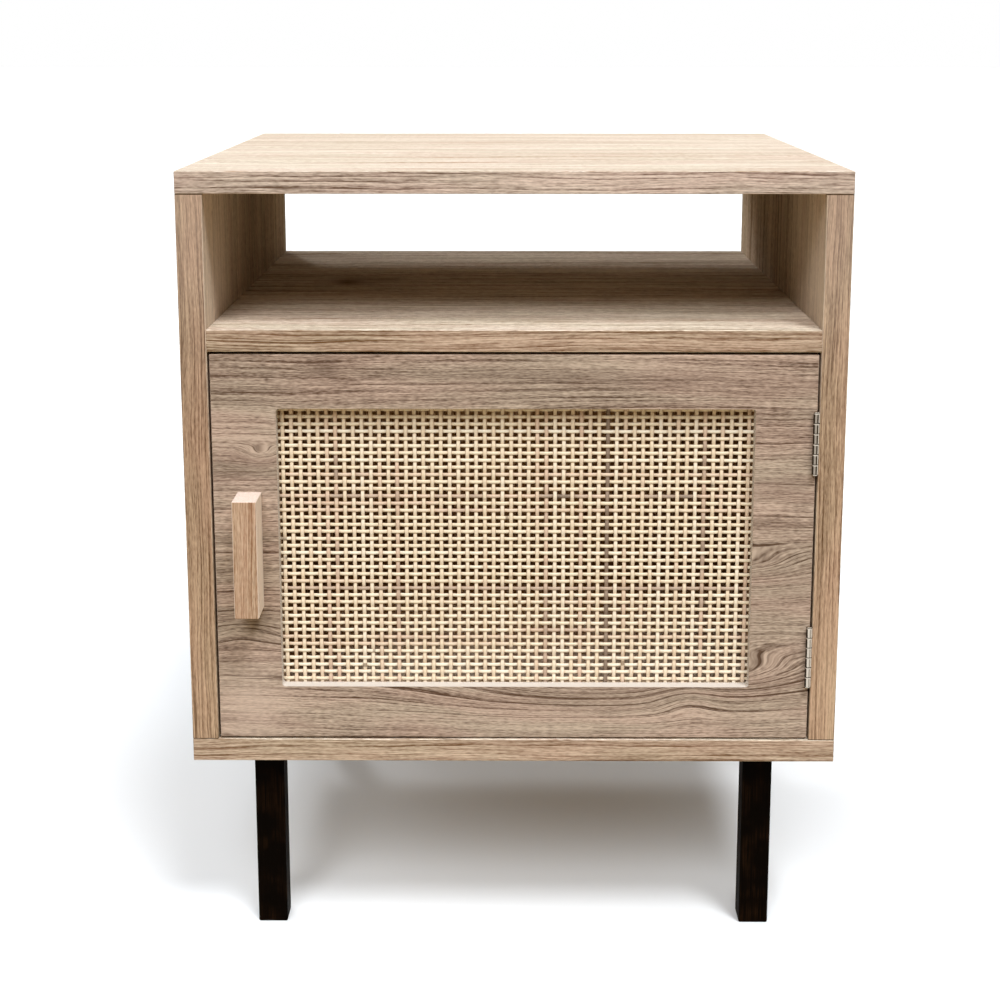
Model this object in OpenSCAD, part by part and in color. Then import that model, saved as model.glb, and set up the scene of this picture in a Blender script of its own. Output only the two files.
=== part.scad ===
// Storage side table: an open niche above a cupboard with a cane-panelled door, on four square legs.
// The front faces -Y and up is +Z. The origin is on the floor, under the middle of the whole table.

/* [Cabinet] */
// Width across both side panels
body_w = 450; // [400:5:520]
// Depth of the panels, from front edge to rear edge
body_d = 450; // [360:5:500]
// Clear height of the open niche
niche_h = 91; // [70:1:140]
// Clear height of the cupboard behind the door
cupboard_h = 276; // [250:1:340]
// Thickness of the top panel
top_t = 15; // [13:0.5:22]
// Thickness of each side panel
side_t = 18; // [16:0.5:22]
// Thickness of the shelf between niche and cupboard
shelf_t = 15; // [13:0.5:20]
// Thickness of the bottom panel
bottom_t = 16; // [15:0.5:22]
// Chamfer along every edge of a panel
arris = 0.4; // [0.2:0.1:0.8]

/* [Back panel] */
// Thickness of the back panel
back_t = 4; // [3:0.5:6]
// Distance from the rear edges of the panels in to the back panel
back_inset = 10; // [6:1:20]
// Depth of the groove that holds the back panel
groove_d = 5; // [3:0.5:7]
// Clearance on each face and edge of the back panel in its groove
groove_clear = 0.15; // [0.05:0.05:0.3]

/* [Door] */
// Thickness of the door board
door_t = 18; // [17:0.5:20]
// Distance of the door's face behind the front edges of the panels
door_inset = 1; // [0:0.5:3]
// Gap beside the door on the pull's side
gap_pull = 1.5; // [1.2:0.1:3]
// Gap beside the door on the hinges' side
gap_hinge = 1.4; // [1.3:0.1:2.2]
// Gap above the door
gap_top = 2; // [1:0.1:4]
// Gap below the door
gap_bottom = 1.3; // [1:0.1:4]
// Width of the door between its free edge and the window
stile_pull = 44; // [42:0.5:60]
// Width of the door between the window and its hinged edge
stile_hinge = 41.5; // [36:0.5:60]
// Height of the door above and below the window
rail_h = 37.3; // [32:0.1:60]
// Corner radius of the window
window_r = 2.5; // [1.5:0.5:6]
// Thickness of the lip around the window, in front of the rebate
lip_t = 9.5; // [8:0.5:10.5]
// Width of the rebate around the window, in the door's rear face
rebate_w = 8; // [6:0.5:12]

/* [Cane panel] */
// Thickness of the woven cane
cane_t = 1.8; // [1.2:0.1:2.4]
// Margin left between the cane's edge and the rebate's edge
cane_margin = 0.5; // [0.2:0.1:1.5]
// Gaps in a row of the net
net_cols = 20; // [10:1:20]
// Rows of gaps in the net
net_rows = 15; // [8:1:15]
// Width of one gap in the net
net_gap_w = 9.4; // [6:0.2:10]
// Height of one gap in the net
net_gap_h = 7.6; // [5:0.2:8]
// Clearance around the beads in the rebate
bead_clear = 0.2; // [0.1:0.1:0.5]
// Diameter of the brads that hold the beads
brad_d = 1.2; // [1:0.1:1.6]
// Length of the brads
brad_l = 12; // [10:0.5:13]
// Distance from a bead's end to its outer brads
brad_inset = 30; // [20:1:45]

/* [Door pull] */
// Width of the pull
pull_w = 16.5; // [12:0.5:20]
// Length of the pull
pull_l = 82; // [70:1:120]
// Depth of the pull in front of the door's face
pull_d = 28; // [20:1:40]
// Distance from the door's free edge to the pull
pull_inset = 16.5; // [12:0.5:18]
// Chamfer along the edges of the pull
pull_arris = 1.2; // [0.5:0.1:2]
// Diameter of the pull's screws
pull_screw_d = 4; // [3:0.5:5]
// Depth that the screws reach into the pull
pull_screw_bite = 14; // [8:1:17]
// Distance between the pull's two screws
pull_screw_gap = 50; // [40:1:56]

/* [Hinges] */
// Length of each butt hinge
hinge_l = 43; // [36:1:52]
// Distance from the door's upper and lower edges to the hinges
hinge_inset = 39; // [30:1:60]
// Knuckles in each hinge, shared between its two leaves
knuckles = 6; // [4:2:8]
// Outer diameter of the knuckles
barrel_d = 4.4; // [4:0.1:5.2]
// Diameter of the hinge pin
hinge_pin_d = 2.2; // [1.6:0.1:2.6]
// Thickness of each leaf
leaf_t = 1; // [0.8:0.1:1]
// Width of each leaf behind the barrel
leaf_w = 16; // [13:0.5:16]
// Diameter of the hinge screws
hinge_screw_d = 3; // [2.5:0.5:3.5]
// Length of the hinge screws
hinge_screw_l = 14; // [10:1:15]
// Distance between the two screws of a leaf
hinge_screw_gap = 26; // [20:1:28]
// Gap between neighbouring knuckles
knuckle_gap = 0.3; // [0.2:0.05:0.5]
// Clearance between the knuckles and the door's face as it swings
swing_clear = 0.3; // [0.3:0.05:1]

/* [Magnetic catch] */
// Distance from the side panel to the catch
catch_inset = 12; // [6:1:30]
// Length of the catch over its two lugs
catch_l = 44; // [40:1:50]
// Width of the catch's housing between the lugs
catch_w = 26; // [24:1:28]
// Depth of the catch, front to rear
catch_d = 14; // [12:0.5:18]
// Wall of the housing below and behind the magnet
catch_wall = 1.5; // [1:0.1:2]
// Thickness of the housing above the magnet and its pole plates
catch_roof = 3.5; // [3:0.5:5]
// Thickness of the lugs
lug_t = 3; // [2:0.5:4]
// Width of the magnet and its pole plates
magnet_w = 20; // [16:1:20]
// Thickness of the magnet
magnet_t = 7; // [5:0.5:8]
// Thickness of each pole plate
pole_t = 1; // [0.8:0.1:1.5]
// Length that the pole plates stand out of the housing
pole_proud = 1; // [0.5:0.1:2]
// Air gap between pole plates and strike when the door is shut
catch_gap = 0.3; // [0.3:0.05:0.6]
// Width of the strike plate
strike_w = 30; // [24:1:36]
// Height of the strike plate
strike_h = 10; // [9:0.5:11]
// Thickness of the strike plate
strike_t = 1.5; // [1:0.1:2]
// Diameter of the catch's and strike's screws
catch_screw_d = 3; // [2.5:0.5:3.5]
// Length of the catch's and strike's screws
catch_screw_l = 12; // [9:1:12]

/* [Legs] */
// Height of the legs
leg_h = 136; // [100:2:200]
// Width of the square legs
leg_w = 21; // [19:0.5:30]
// Distance from a side face of the cabinet in to the legs
leg_side_inset = 39; // [20:1:60]
// Distance from the front edge in to the front legs
leg_front_inset = 26.5; // [15:0.5:60]
// Distance from the rear edge in to the rear legs
leg_rear_inset = 26.5; // [15:0.5:60]
// Chamfer along the edges of a leg
leg_arris = 0.8; // [0.4:0.1:2]
// Diameter of the hanger bolts that hold the legs
bolt_d = 8; // [6:1:8]
// Depth of a hanger bolt in its leg
bolt_in_leg = 34; // [24:1:50]
// Diameter of the threaded inserts
insert_d = 12; // [11:0.5:14]
// Length of the threaded inserts
insert_l = 12; // [9:0.5:13]

/* [Dowels and fits] */
// Diameter of the dowels that join the panels
dowel_d = 8; // [6:0.5:9]
// Length of the dowels
dowel_l = 30; // [26:1:36]
// Wood left over the end of a dowel
dowel_cover = 5; // [4:0.5:7]
// Distance of the outer dowels from the front and rear edges
dowel_inset = 50; // [35:5:80]
// Radial clearance of dowels, pins and screws in their holes
fit = 0.05; // [0.02:0.01:0.1]
// Spare depth beyond the end of a dowel, bolt or screw
end_clear = 0.5; // [0.2:0.1:1]

/* [Hidden] */
$fn = 32;
// Cuts run this far past a face
past = 1;

// Levels, upwards from the floor
bottom_z0 = leg_h;
bottom_z1 = bottom_z0 + bottom_t;
shelf_z0 = bottom_z1 + cupboard_h;
shelf_z1 = shelf_z0 + shelf_t;
top_z0 = shelf_z1 + niche_h;
top_z1 = top_z0 + top_t;

// Cabinet outline: the origin is in the middle of panels and pull together
half_w = body_w / 2;
inner_x = half_w - side_t;
side_mid_x = half_w - side_t / 2;
front_y = (pull_d - door_inset - body_d) / 2;
rear_y = front_y + body_d;
dowel_ys = [front_y + dowel_inset, (front_y + rear_y) / 2, rear_y - dowel_inset];

// Back panel
back_y1 = rear_y - back_inset;
back_y0 = back_y1 - back_t;

// Door board
door_x0 = -inner_x + gap_pull;
door_x1 = inner_x - gap_hinge;
door_y0 = front_y + door_inset;
door_y1 = door_y0 + door_t;
door_z0 = bottom_z1 + gap_bottom;
door_z1 = shelf_z0 - gap_top;

// Window, and the cane and beads in the rebate behind its lip
window_w = door_x1 - door_x0 - stile_pull - stile_hinge;
window_h = door_z1 - door_z0 - 2 * rail_h;
window_x = door_x0 + stile_pull + window_w / 2;
window_z = (door_z0 + door_z1) / 2;
cane_y0 = door_y0 + lip_t;
cane_y1 = cane_y0 + cane_t;
bead_w = rebate_w - bead_clear;
bead_y1 = door_y1 - bead_clear;
brad_x = window_w / 2 + bead_w / 2;
brad_z = window_h / 2 + bead_w / 2;
brad_far_x = window_w / 2 - brad_inset;
brad_far_z = window_h / 2 - brad_inset;
brad_places = concat(
    [for (s = [-1, 1], k = [-1, 0, 1]) [k * brad_far_x, s * brad_z]],
    [for (s = [-1, 1], k = [-1, 1]) [s * brad_x, k * brad_far_z]]);

// Pull
pull_x = door_x0 + pull_inset + pull_w / 2;
pull_z = window_z;
pull_head_d = 2 * pull_screw_d;
pull_head_h = 0.6 * pull_screw_d;

// Hinges: the axis stands in front of the door's face, so the door folds right back
barrel_r = barrel_d / 2;
hinge_x = inner_x - barrel_r;
hinge_y = door_y0 - barrel_r - swing_clear;
hinge_zs = [door_z0 + hinge_inset, door_z1 - hinge_inset - hinge_l];
knuckle_pitch = hinge_l / knuckles;
knuckle_l = knuckle_pitch - knuckle_gap;
leaf_y = barrel_r + swing_clear;
door_leaf_x = door_x1 - hinge_x;
cabinet_leaf_x = barrel_r;
pin_head_r = 0.85 * barrel_r;
pin_head_h = 0.5;

// Screw heads with a countersink of 45 degrees and a cross recess
hinge_head_d = hinge_screw_d + 2 * leaf_t;
strike_head_d = catch_screw_d + 2 * strike_t;
recess_share = 0.6;
recess_slot = 0.6;

// Magnetic catch under the shelf, its strike plate on the door's rear face
stack_h = magnet_t + 2 * pole_t;
catch_h = catch_wall + stack_h + catch_roof;
catch_x = -inner_x + catch_inset + catch_l / 2;
catch_y = door_y1 + strike_t + catch_gap + pole_proud;
stack_z = shelf_z0 - catch_roof - stack_h;
lug_x = (catch_l + catch_w) / 4;
strike_z = stack_z + stack_h / 2;

// Legs
leg_x = half_w - leg_side_inset - leg_w / 2;
leg_front_y = front_y + leg_front_inset + leg_w / 2;
leg_rear_y = rear_y - leg_rear_inset - leg_w / 2;
leg_places = [for (x = [-leg_x, leg_x], y = [leg_front_y, leg_rear_y]) [x, y]];

wood = "#cdb08c";
door_wood = "#b29a83";
pull_wood = "#dcb795";
cane = "#e6d5a3";
black = "#120d0b";
steel = "#b9b4aa";

// Shared shapes

// Rectangle with its corners cut off
module cut_rect(w, h, c)
    polygon([[c, 0], [w - c, 0], [w, c], [w, h - c], [w - c, h], [c, h], [0, h - c], [0, c]]);

// Board from corner a to corner b, chamfered by c along its twelve edges
module board(a, b, c = arris) {
    s = b - a;
    translate(a)
        intersection() {
            linear_extrude(s.z) cut_rect(s.x, s.y, c);
            translate([0, s.y, 0]) rotate([90, 0, 0]) linear_extrude(s.y) cut_rect(s.x, s.z, c);
            rotate([90, 0, 90]) linear_extrude(s.x) cut_rect(s.y, s.z, c);
        }
}

// Plain block from corner a to corner b
module block(a, b)
    translate(a) cube(b - a);

// Rectangle about the origin with round corners
module round_rect(w, h, r) {
    square([w - 2 * r, h], center = true);
    square([w, h - 2 * r], center = true);
    for (x = [-1, 1], z = [-1, 1])
        translate([x * (w / 2 - r), z * (h / 2 - r)]) circle(r);
}

// Flat shape drawn on X and Z, extruded from y0 back to y1
module upright(y0, y1)
    translate([0, y1, 0]) rotate([90, 0, 0]) linear_extrude(y1 - y0) children();

// Cross recess in the face of a screw head at z = 0, the screw pointing along +Z
module cross_recess(head_d, depth)
    for (a = [0, 90])
        rotate(a)
            translate([-recess_share * head_d / 2, -recess_slot / 2, -past])
                cube([recess_share * head_d, recess_slot, depth + past]);

// Countersunk screw pointing along +Z, its head flush with z = 0
module sunk_screw(d, l, head_d, head_h)
    difference() {
        rotate_extrude()
            polygon([[0, 0], [head_d / 2, 0], [d / 2, head_h], [d / 2, l - d], [0, l]]);
        cross_recess(head_d, recess_share * head_h);
    }

// Space that a countersunk screw needs
module sunk_space(d, l, head_d, head_h)
    rotate_extrude()
        polygon([
            [0, -past], [head_d / 2 + fit, -past], [head_d / 2 + fit, 0],
            [d / 2 + fit, head_h], [d / 2 + fit, l + end_clear], [0, l + end_clear]]);

// Screw with a raised head below z = 0, pointing along +Z
module head_screw(d, l, head_d, head_h)
    difference() {
        rotate_extrude()
            polygon([
                [0, -head_h], [0.7 * head_d / 2, -head_h], [head_d / 2, -0.5 * head_h],
                [head_d / 2, 0], [d / 2, 0], [d / 2, l - d / 2], [0, l]]);
        translate([0, 0, -head_h]) cross_recess(head_d, recess_share * head_h);
    }

// Dowels, or with clearances the holes for them

module top_dowel_set(grow = 0, ends = 0)
    for (s = [-1, 1], y = dowel_ys)
        translate([s * side_mid_x, y, top_z1 - dowel_cover - dowel_l - ends])
            cylinder(d = dowel_d + 2 * grow, h = dowel_l + 2 * ends);

module shelf_dowel_set(grow = 0, ends = 0)
    for (s = [-1, 1], y = dowel_ys)
        translate([s * (half_w - dowel_cover - dowel_l / 2), y, (shelf_z0 + shelf_z1) / 2])
            rotate([0, 90, 0])
                cylinder(d = dowel_d + 2 * grow, h = dowel_l + 2 * ends, center = true);

module base_dowel_set(grow = 0, ends = 0)
    for (s = [-1, 1], y = dowel_ys)
        translate([s * side_mid_x, y, bottom_z0 + dowel_cover - ends])
            cylinder(d = dowel_d + 2 * grow, h = dowel_l + 2 * ends);

// Back panel, or with a clearance the grooves for it
module back_slab(clear = 0)
    block(
        [-inner_x - groove_d - clear, back_y0 - clear, bottom_z1 - groove_d - clear],
        [inner_x + groove_d + clear, back_y1 + clear, shelf_z0 + groove_d + clear]);

// Places of the fasteners, children pointing along +Z are turned the way that each one is driven

module at_hinges()
    for (z = hinge_zs)
        translate([hinge_x, hinge_y, z]) children();

module at_hinge_screws(face_x, turn)
    for (s = [-1, 1])
        translate([face_x, leaf_y + leaf_w / 2, hinge_l / 2 + s * hinge_screw_gap / 2])
            rotate([0, turn, 0]) children();

module at_catch_screws()
    for (s = [-1, 1])
        translate([catch_x + s * lug_x, catch_y + catch_d / 2, shelf_z0 - lug_t]) children();

module at_strike_screw()
    translate([catch_x, door_y1 + strike_t, strike_z]) rotate([90, 0, 0]) children();

module at_pull_screws()
    for (s = [-1, 1])
        translate([pull_x, door_y1, pull_z + s * pull_screw_gap / 2])
            rotate([90, 0, 0]) children();

module at_brads()
    for (p = brad_places)
        translate([window_x + p.x, bead_y1, window_z + p.y]) rotate([90, 0, 0]) children();

module hinge_screw_space()
    sunk_space(hinge_screw_d, hinge_screw_l, hinge_head_d, leaf_t);

module brad_space()
    translate([0, 0, -past]) cylinder(d = brad_d + 2 * fit, h = brad_l + end_clear + past);

// Cabinet

module top_panel()
    color(wood)
        difference() {
            board([-half_w, front_y, top_z0], [half_w, rear_y, top_z1]);
            top_dowel_set(fit, end_clear);
        }

module side_panel(s) {
    x0 = s > 0 ? inner_x : -half_w;
    color(wood)
        difference() {
            board([x0, front_y, bottom_z1], [x0 + side_t, rear_y, top_z0]);
            top_dowel_set(fit, end_clear);
            shelf_dowel_set(fit, end_clear);
            base_dowel_set(fit, end_clear);
            back_slab(groove_clear);
            at_hinges() at_hinge_screws(cabinet_leaf_x - leaf_t, 90) hinge_screw_space();
        }
}

module left_side_panel() side_panel(-1);

module right_side_panel() side_panel(1);

module niche_shelf()
    color(wood)
        difference() {
            board([-inner_x, front_y, shelf_z0], [inner_x, rear_y, shelf_z1]);
            shelf_dowel_set(fit, end_clear);
            back_slab(groove_clear);
            at_catch_screws()
                cylinder(d = catch_screw_d + 2 * fit, h = catch_screw_l + end_clear);
        }

module bottom_panel()
    color(wood)
        difference() {
            board([-half_w, front_y, bottom_z0], [half_w, rear_y, bottom_z1]);
            base_dowel_set(fit, end_clear);
            back_slab(groove_clear);
            for (p = leg_places)
                translate([p.x, p.y, bottom_z0 - past])
                    cylinder(d = insert_d + 2 * fit, h = insert_l + end_clear + past);
        }

module back_panel()
    color(wood) back_slab();

module top_dowels()
    color(pull_wood) top_dowel_set();

module shelf_dowels()
    color(pull_wood) shelf_dowel_set();

module base_dowels()
    color(pull_wood) base_dowel_set();

// Legs

module leg(p)
    color(black)
        translate([p.x, p.y, 0])
            difference() {
                board([-leg_w / 2, -leg_w / 2, 0], [leg_w / 2, leg_w / 2, leg_h], leg_arris);
                translate([0, 0, leg_h - bolt_in_leg - end_clear])
                    cylinder(d = bolt_d + 2 * fit, h = bolt_in_leg + end_clear + past);
            }

module front_left_leg() leg([-leg_x, leg_front_y]);

module front_right_leg() leg([leg_x, leg_front_y]);

module rear_left_leg() leg([-leg_x, leg_rear_y]);

module rear_right_leg() leg([leg_x, leg_rear_y]);

module leg_bolts()
    color(steel)
        for (p = leg_places)
            translate([p.x, p.y, leg_h - bolt_in_leg])
                rotate_extrude()
                    polygon([
                        [0, 0], [bolt_d / 2, bolt_d],
                        [bolt_d / 2, bolt_in_leg + insert_l - end_clear],
                        [0, bolt_in_leg + insert_l - end_clear]]);

module leg_inserts()
    color(steel)
        for (p = leg_places)
            translate([p.x, p.y, bottom_z0])
                difference() {
                    cylinder(d = insert_d, h = insert_l);
                    translate([0, 0, -past])
                        cylinder(d = bolt_d + 2 * fit, h = insert_l + 2 * past);
                }

// Hinges

// Leaf about the hinge axis: outer_x is its outer face, first its lowest knuckle
module hinge_leaf(outer_x, first, screw_x, turn)
    color(steel)
        difference() {
            union() {
                block([outer_x - leaf_t, leaf_y, 0], [outer_x, leaf_y + leaf_w, hinge_l]);
                for (k = [first:2:knuckles - 1])
                    translate([0, 0, k * knuckle_pitch + knuckle_gap / 2]) {
                        cylinder(r = barrel_r, h = knuckle_l);
                        block([outer_x - leaf_t, 0, 0], [outer_x, leaf_y, knuckle_l]);
                    }
            }
            translate([0, 0, -past]) cylinder(d = hinge_pin_d + 2 * fit, h = hinge_l + 2 * past);
            at_hinge_screws(screw_x, turn) hinge_screw_space();
        }

module cabinet_leaf(z)
    translate([hinge_x, hinge_y, z])
        hinge_leaf(cabinet_leaf_x, 0, cabinet_leaf_x - leaf_t, 90);

module door_leaf(z)
    translate([hinge_x, hinge_y, z])
        hinge_leaf(door_leaf_x, 1, door_leaf_x, -90);

module lower_hinge_cabinet_leaf() cabinet_leaf(hinge_zs[0]);

module upper_hinge_cabinet_leaf() cabinet_leaf(hinge_zs[1]);

module lower_hinge_door_leaf() door_leaf(hinge_zs[0]);

module upper_hinge_door_leaf() door_leaf(hinge_zs[1]);

module hinge_pins()
    color(steel)
        at_hinges()
            rotate_extrude()
                polygon([
                    [0, -pin_head_h], [pin_head_r, -pin_head_h], [pin_head_r, 0],
                    [hinge_pin_d / 2, 0], [hinge_pin_d / 2, hinge_l], [pin_head_r, hinge_l],
                    [pin_head_r, hinge_l + pin_head_h], [0, hinge_l + pin_head_h]]);

module hinge_cabinet_screws()
    color(steel)
        at_hinges()
            at_hinge_screws(cabinet_leaf_x - leaf_t, 90)
                sunk_screw(hinge_screw_d, hinge_screw_l, hinge_head_d, leaf_t);

module hinge_door_screws()
    color(steel)
        at_hinges()
            at_hinge_screws(door_leaf_x, -90)
                sunk_screw(hinge_screw_d, hinge_screw_l, hinge_head_d, leaf_t);

// Magnetic catch

module catch_housing()
    color("white")
        difference() {
            translate([catch_x, catch_y, shelf_z0]) {
                block([-catch_l / 2, 0, -lug_t], [catch_l / 2, catch_d, 0]);
                block([-catch_w / 2, 0, -catch_h], [catch_w / 2, catch_d, 0]);
            }
            translate([catch_x, catch_y, stack_z])
                block(
                    [-magnet_w / 2 - fit, -past, -fit],
                    [magnet_w / 2 + fit, catch_d - catch_wall + fit, stack_h + fit]);
            at_catch_screws()
                translate([0, 0, -past])
                    cylinder(d = catch_screw_d + 2 * fit, h = lug_t + 2 * past);
        }

module catch_magnet()
    color("dimgray")
        translate([catch_x, catch_y, stack_z + pole_t])
            block([-magnet_w / 2, pole_proud, 0], [magnet_w / 2, catch_d - catch_wall, magnet_t]);

module catch_poles()
    color(steel)
        for (z = [0, pole_t + magnet_t])
            translate([catch_x, catch_y, stack_z + z])
                block([-magnet_w / 2, -pole_proud, 0], [magnet_w / 2, catch_d - catch_wall, pole_t]);

module catch_screws()
    color(steel)
        at_catch_screws()
            head_screw(catch_screw_d, catch_screw_l, 2 * catch_screw_d, catch_screw_d / 2);

module catch_strike()
    color(steel)
        difference() {
            translate([catch_x, 0, strike_z])
                block(
                    [-strike_w / 2, door_y1, -strike_h / 2],
                    [strike_w / 2, door_y1 + strike_t, strike_h / 2]);
            at_strike_screw() sunk_space(catch_screw_d, catch_screw_l, strike_head_d, strike_t);
        }

module strike_screw()
    color(steel)
        at_strike_screw() sunk_screw(catch_screw_d, catch_screw_l, strike_head_d, strike_t);

// Door

module door_panel()
    color(door_wood)
        difference() {
            board([door_x0, door_y0, door_z0], [door_x1, door_y1, door_z1]);
            translate([window_x, 0, window_z]) {
                upright(door_y0 - past, door_y1 + past) round_rect(window_w, window_h, window_r);
                upright(cane_y0, door_y1 + past)
                    square([window_w + 2 * rebate_w, window_h + 2 * rebate_w], center = true);
            }
            at_hinges()
                block(
                    [door_leaf_x - leaf_t - fit, -past, -knuckle_gap],
                    [door_leaf_x + past, leaf_y + leaf_w + fit, hinge_l + knuckle_gap]);
            at_hinges() at_hinge_screws(door_leaf_x, -90) hinge_screw_space();
            at_strike_screw() sunk_space(catch_screw_d, catch_screw_l, strike_head_d, strike_t);
            at_pull_screws()
                translate([0, 0, -past]) cylinder(d = pull_screw_d + 2 * fit, h = door_t + 2 * past);
            at_brads() brad_space();
        }

module cane_panel()
    color(cane)
        difference() {
            translate([window_x, 0, window_z])
                upright(cane_y0, cane_y1)
                    difference() {
                        square(
                            [window_w, window_h] + 2 * (rebate_w - cane_margin) * [1, 1],
                            center = true);
                        for (i = [0:net_cols - 1], k = [0:net_rows - 1])
                            translate([
                                ((i + 0.5) / net_cols - 0.5) * window_w,
                                ((k + 0.5) / net_rows - 0.5) * window_h])
                                square([net_gap_w, net_gap_h], center = true);
                    }
            at_brads() brad_space();
        }

// One of the four mitred beads, counted round the window from the top
module bead(side) {
    inner = [window_w / 2, window_h / 2];
    outer = inner + bead_w * [1, 1];
    turns = [[-1, 1], [1, 1], [1, -1], [-1, -1]];
    a = turns[side];
    b = turns[(side + 1) % 4];
    color(door_wood)
        difference() {
            translate([window_x, 0, window_z])
                upright(cane_y1, bead_y1)
                    polygon([
                        [a.x * outer.x, a.y * outer.y], [b.x * outer.x, b.y * outer.y],
                        [b.x * inner.x, b.y * inner.y], [a.x * inner.x, a.y * inner.y]]);
            at_brads() brad_space();
        }
}

module top_bead() bead(0);

module right_bead() bead(1);

module bottom_bead() bead(2);

module left_bead() bead(3);

module bead_brads()
    color(steel)
        at_brads() cylinder(d = brad_d, h = brad_l);

module door_pull()
    color(pull_wood)
        difference() {
            board(
                [pull_x - pull_w / 2, door_y0 - pull_d, pull_z - pull_l / 2],
                [pull_x + pull_w / 2, door_y0, pull_z + pull_l / 2],
                pull_arris);
            at_pull_screws()
                cylinder(d = pull_screw_d + 2 * fit, h = door_t + pull_screw_bite + end_clear);
        }

module pull_screws()
    color(steel)
        at_pull_screws()
            head_screw(pull_screw_d, door_t + pull_screw_bite, pull_head_d, pull_head_h);

top_panel();
left_side_panel();
right_side_panel();
niche_shelf();
bottom_panel();
back_panel();
top_dowels();
shelf_dowels();
base_dowels();
front_left_leg();
front_right_leg();
rear_left_leg();
rear_right_leg();
leg_bolts();
leg_inserts();
lower_hinge_cabinet_leaf();
upper_hinge_cabinet_leaf();
hinge_cabinet_screws();
hinge_pins();
catch_housing();
catch_magnet();
catch_poles();
catch_screws();
door_panel();
cane_panel();
top_bead();
bottom_bead();
left_bead();
right_bead();
bead_brads();
door_pull();
pull_screws();
lower_hinge_door_leaf();
upper_hinge_door_leaf();
hinge_door_screws();
catch_strike();
strike_screw();
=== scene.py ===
"""Side table with an open niche and a cane door: its finishes, its woven cane and its studio.

Laid out as an add-on and run as a script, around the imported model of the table. Lengths are in
metres. Wood and cane finishes count in millimetres inside their shaders.
"""

import math
from collections import namedtuple
from functools import partialmethod
import bmesh
import bpy
from bpy.props import FloatProperty, FloatVectorProperty, IntProperty, PointerProperty
from bpy.types import Operator, Panel, PropertyGroup
from mathutils import Matrix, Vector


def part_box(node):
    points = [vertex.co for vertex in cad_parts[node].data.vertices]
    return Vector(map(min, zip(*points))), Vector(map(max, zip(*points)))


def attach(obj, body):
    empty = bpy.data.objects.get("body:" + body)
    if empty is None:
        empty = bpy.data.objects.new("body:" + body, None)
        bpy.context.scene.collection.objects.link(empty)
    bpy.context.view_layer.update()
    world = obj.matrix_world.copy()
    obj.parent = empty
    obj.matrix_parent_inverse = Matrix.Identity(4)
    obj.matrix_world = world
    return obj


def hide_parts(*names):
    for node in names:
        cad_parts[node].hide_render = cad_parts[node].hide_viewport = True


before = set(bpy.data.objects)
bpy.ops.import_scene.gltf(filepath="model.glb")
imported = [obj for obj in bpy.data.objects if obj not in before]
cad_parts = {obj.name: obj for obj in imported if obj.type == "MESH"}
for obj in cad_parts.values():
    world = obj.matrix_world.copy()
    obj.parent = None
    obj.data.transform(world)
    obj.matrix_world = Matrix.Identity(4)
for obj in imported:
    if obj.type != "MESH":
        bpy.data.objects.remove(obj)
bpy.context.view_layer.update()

bl_info = {
    "name": "Cane Door Side Table",
    "version": (1, 0, 0),
    "blender": (4, 5, 0),
    "location": "3D View > Sidebar > Side Table",
    "description": "Finishes a side table with an open niche and a cane door, and sets its studio",
    "category": "Object",
}

MILLIMETRES = 1000.0
WHITE = (1.0, 1.0, 1.0)
KNUCKLES = 6
# A face looks along an axis where its normal has at least this share along it: a wide face, and
# the end of a piece
WIDE_FACE = 0.5
END_FACE = 0.6

# One layer of noise: its cells in a unit of each coordinate, its detail, how far it swings what it
# changes, what it adds to a third coordinate that is a plain number, and its roughness
Layer = namedtuple("Layer", "x y z detail reach shift roughness", defaults=(0.0, 0.0, 0.5))
# The strength of a bump, from 0 to 1, and its depth in metres
Bump = namedtuple("Bump", "strength depth")
# A place where the grain swells round a knot: its centre, reach and height in millimetres
Swell = namedtuple("Swell", "along across length width height")
# A darker or paler patch: its centre and reach in millimetres, and its strength
Patch = namedtuple("Patch", "along across length width strength")
# A cane strand that is darker over part of its length: its place among its like, in millimetres or
# as a number of strands, where that part starts and ends, and its strength
Lane = namedtuple("Lane", "place start end strength")

# Noise of the wood, over distances along the grain, across it and into it
FIGURE = Layer(0.003, 0.012, 0.012, 2.0, 2.0)
BEND = Layer(0.010, 0.03, 0.05, 2.0, 5.0)
FIBRE = Layer(0.009, 0.75, 0.3, 2.0, 0.8, roughness=0.6)
THREAD = Layer(0.045, 1.7, 0.9, 1.0, 1.25)
FLECK = Layer(0.22, 1.25, 0.9, 1.0, 1.25)
PORE = Layer(0.16, 1.9, 1.0, 1.0, shift=13.0)
HUE = Layer(0.008, 0.05, 1.0, 2.0, shift=21.0)
# Noise of the wood, over distances across the growth rings and along the grain
RING_DRIFT = Layer(0.13, 0.0012, 1.0, 3.0, 4.0)
RING_FADE = Layer(0.83, 0.006, 1.0, 2.0, shift=3.0)
BROAD_BAND = Layer(0.026, 0.0012, 1.0, 2.0, 0.75, shift=9.0)
FINE_BAND = Layer(0.12, 0.0022, 1.0, 2.0, 0.6, shift=11.0)
# Noise of the other finishes, over the three axes of a piece
PALE_STREAK = Layer(0.9, 0.9, 0.022, 2.0, 0.9)
METAL_STAIN = Layer(0.25, 0.25, 0.25, 2.0)
MATT_SKIN = Layer(2.2, 2.2, 2.2, 4.0, 0.2)
LACQUER_GRAIN = Layer(1.3, 1.3, 0.03, 3.0, 0.2)
LACQUER_WEAR = Layer(0.05, 0.05, 0.05, 2.0)
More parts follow.
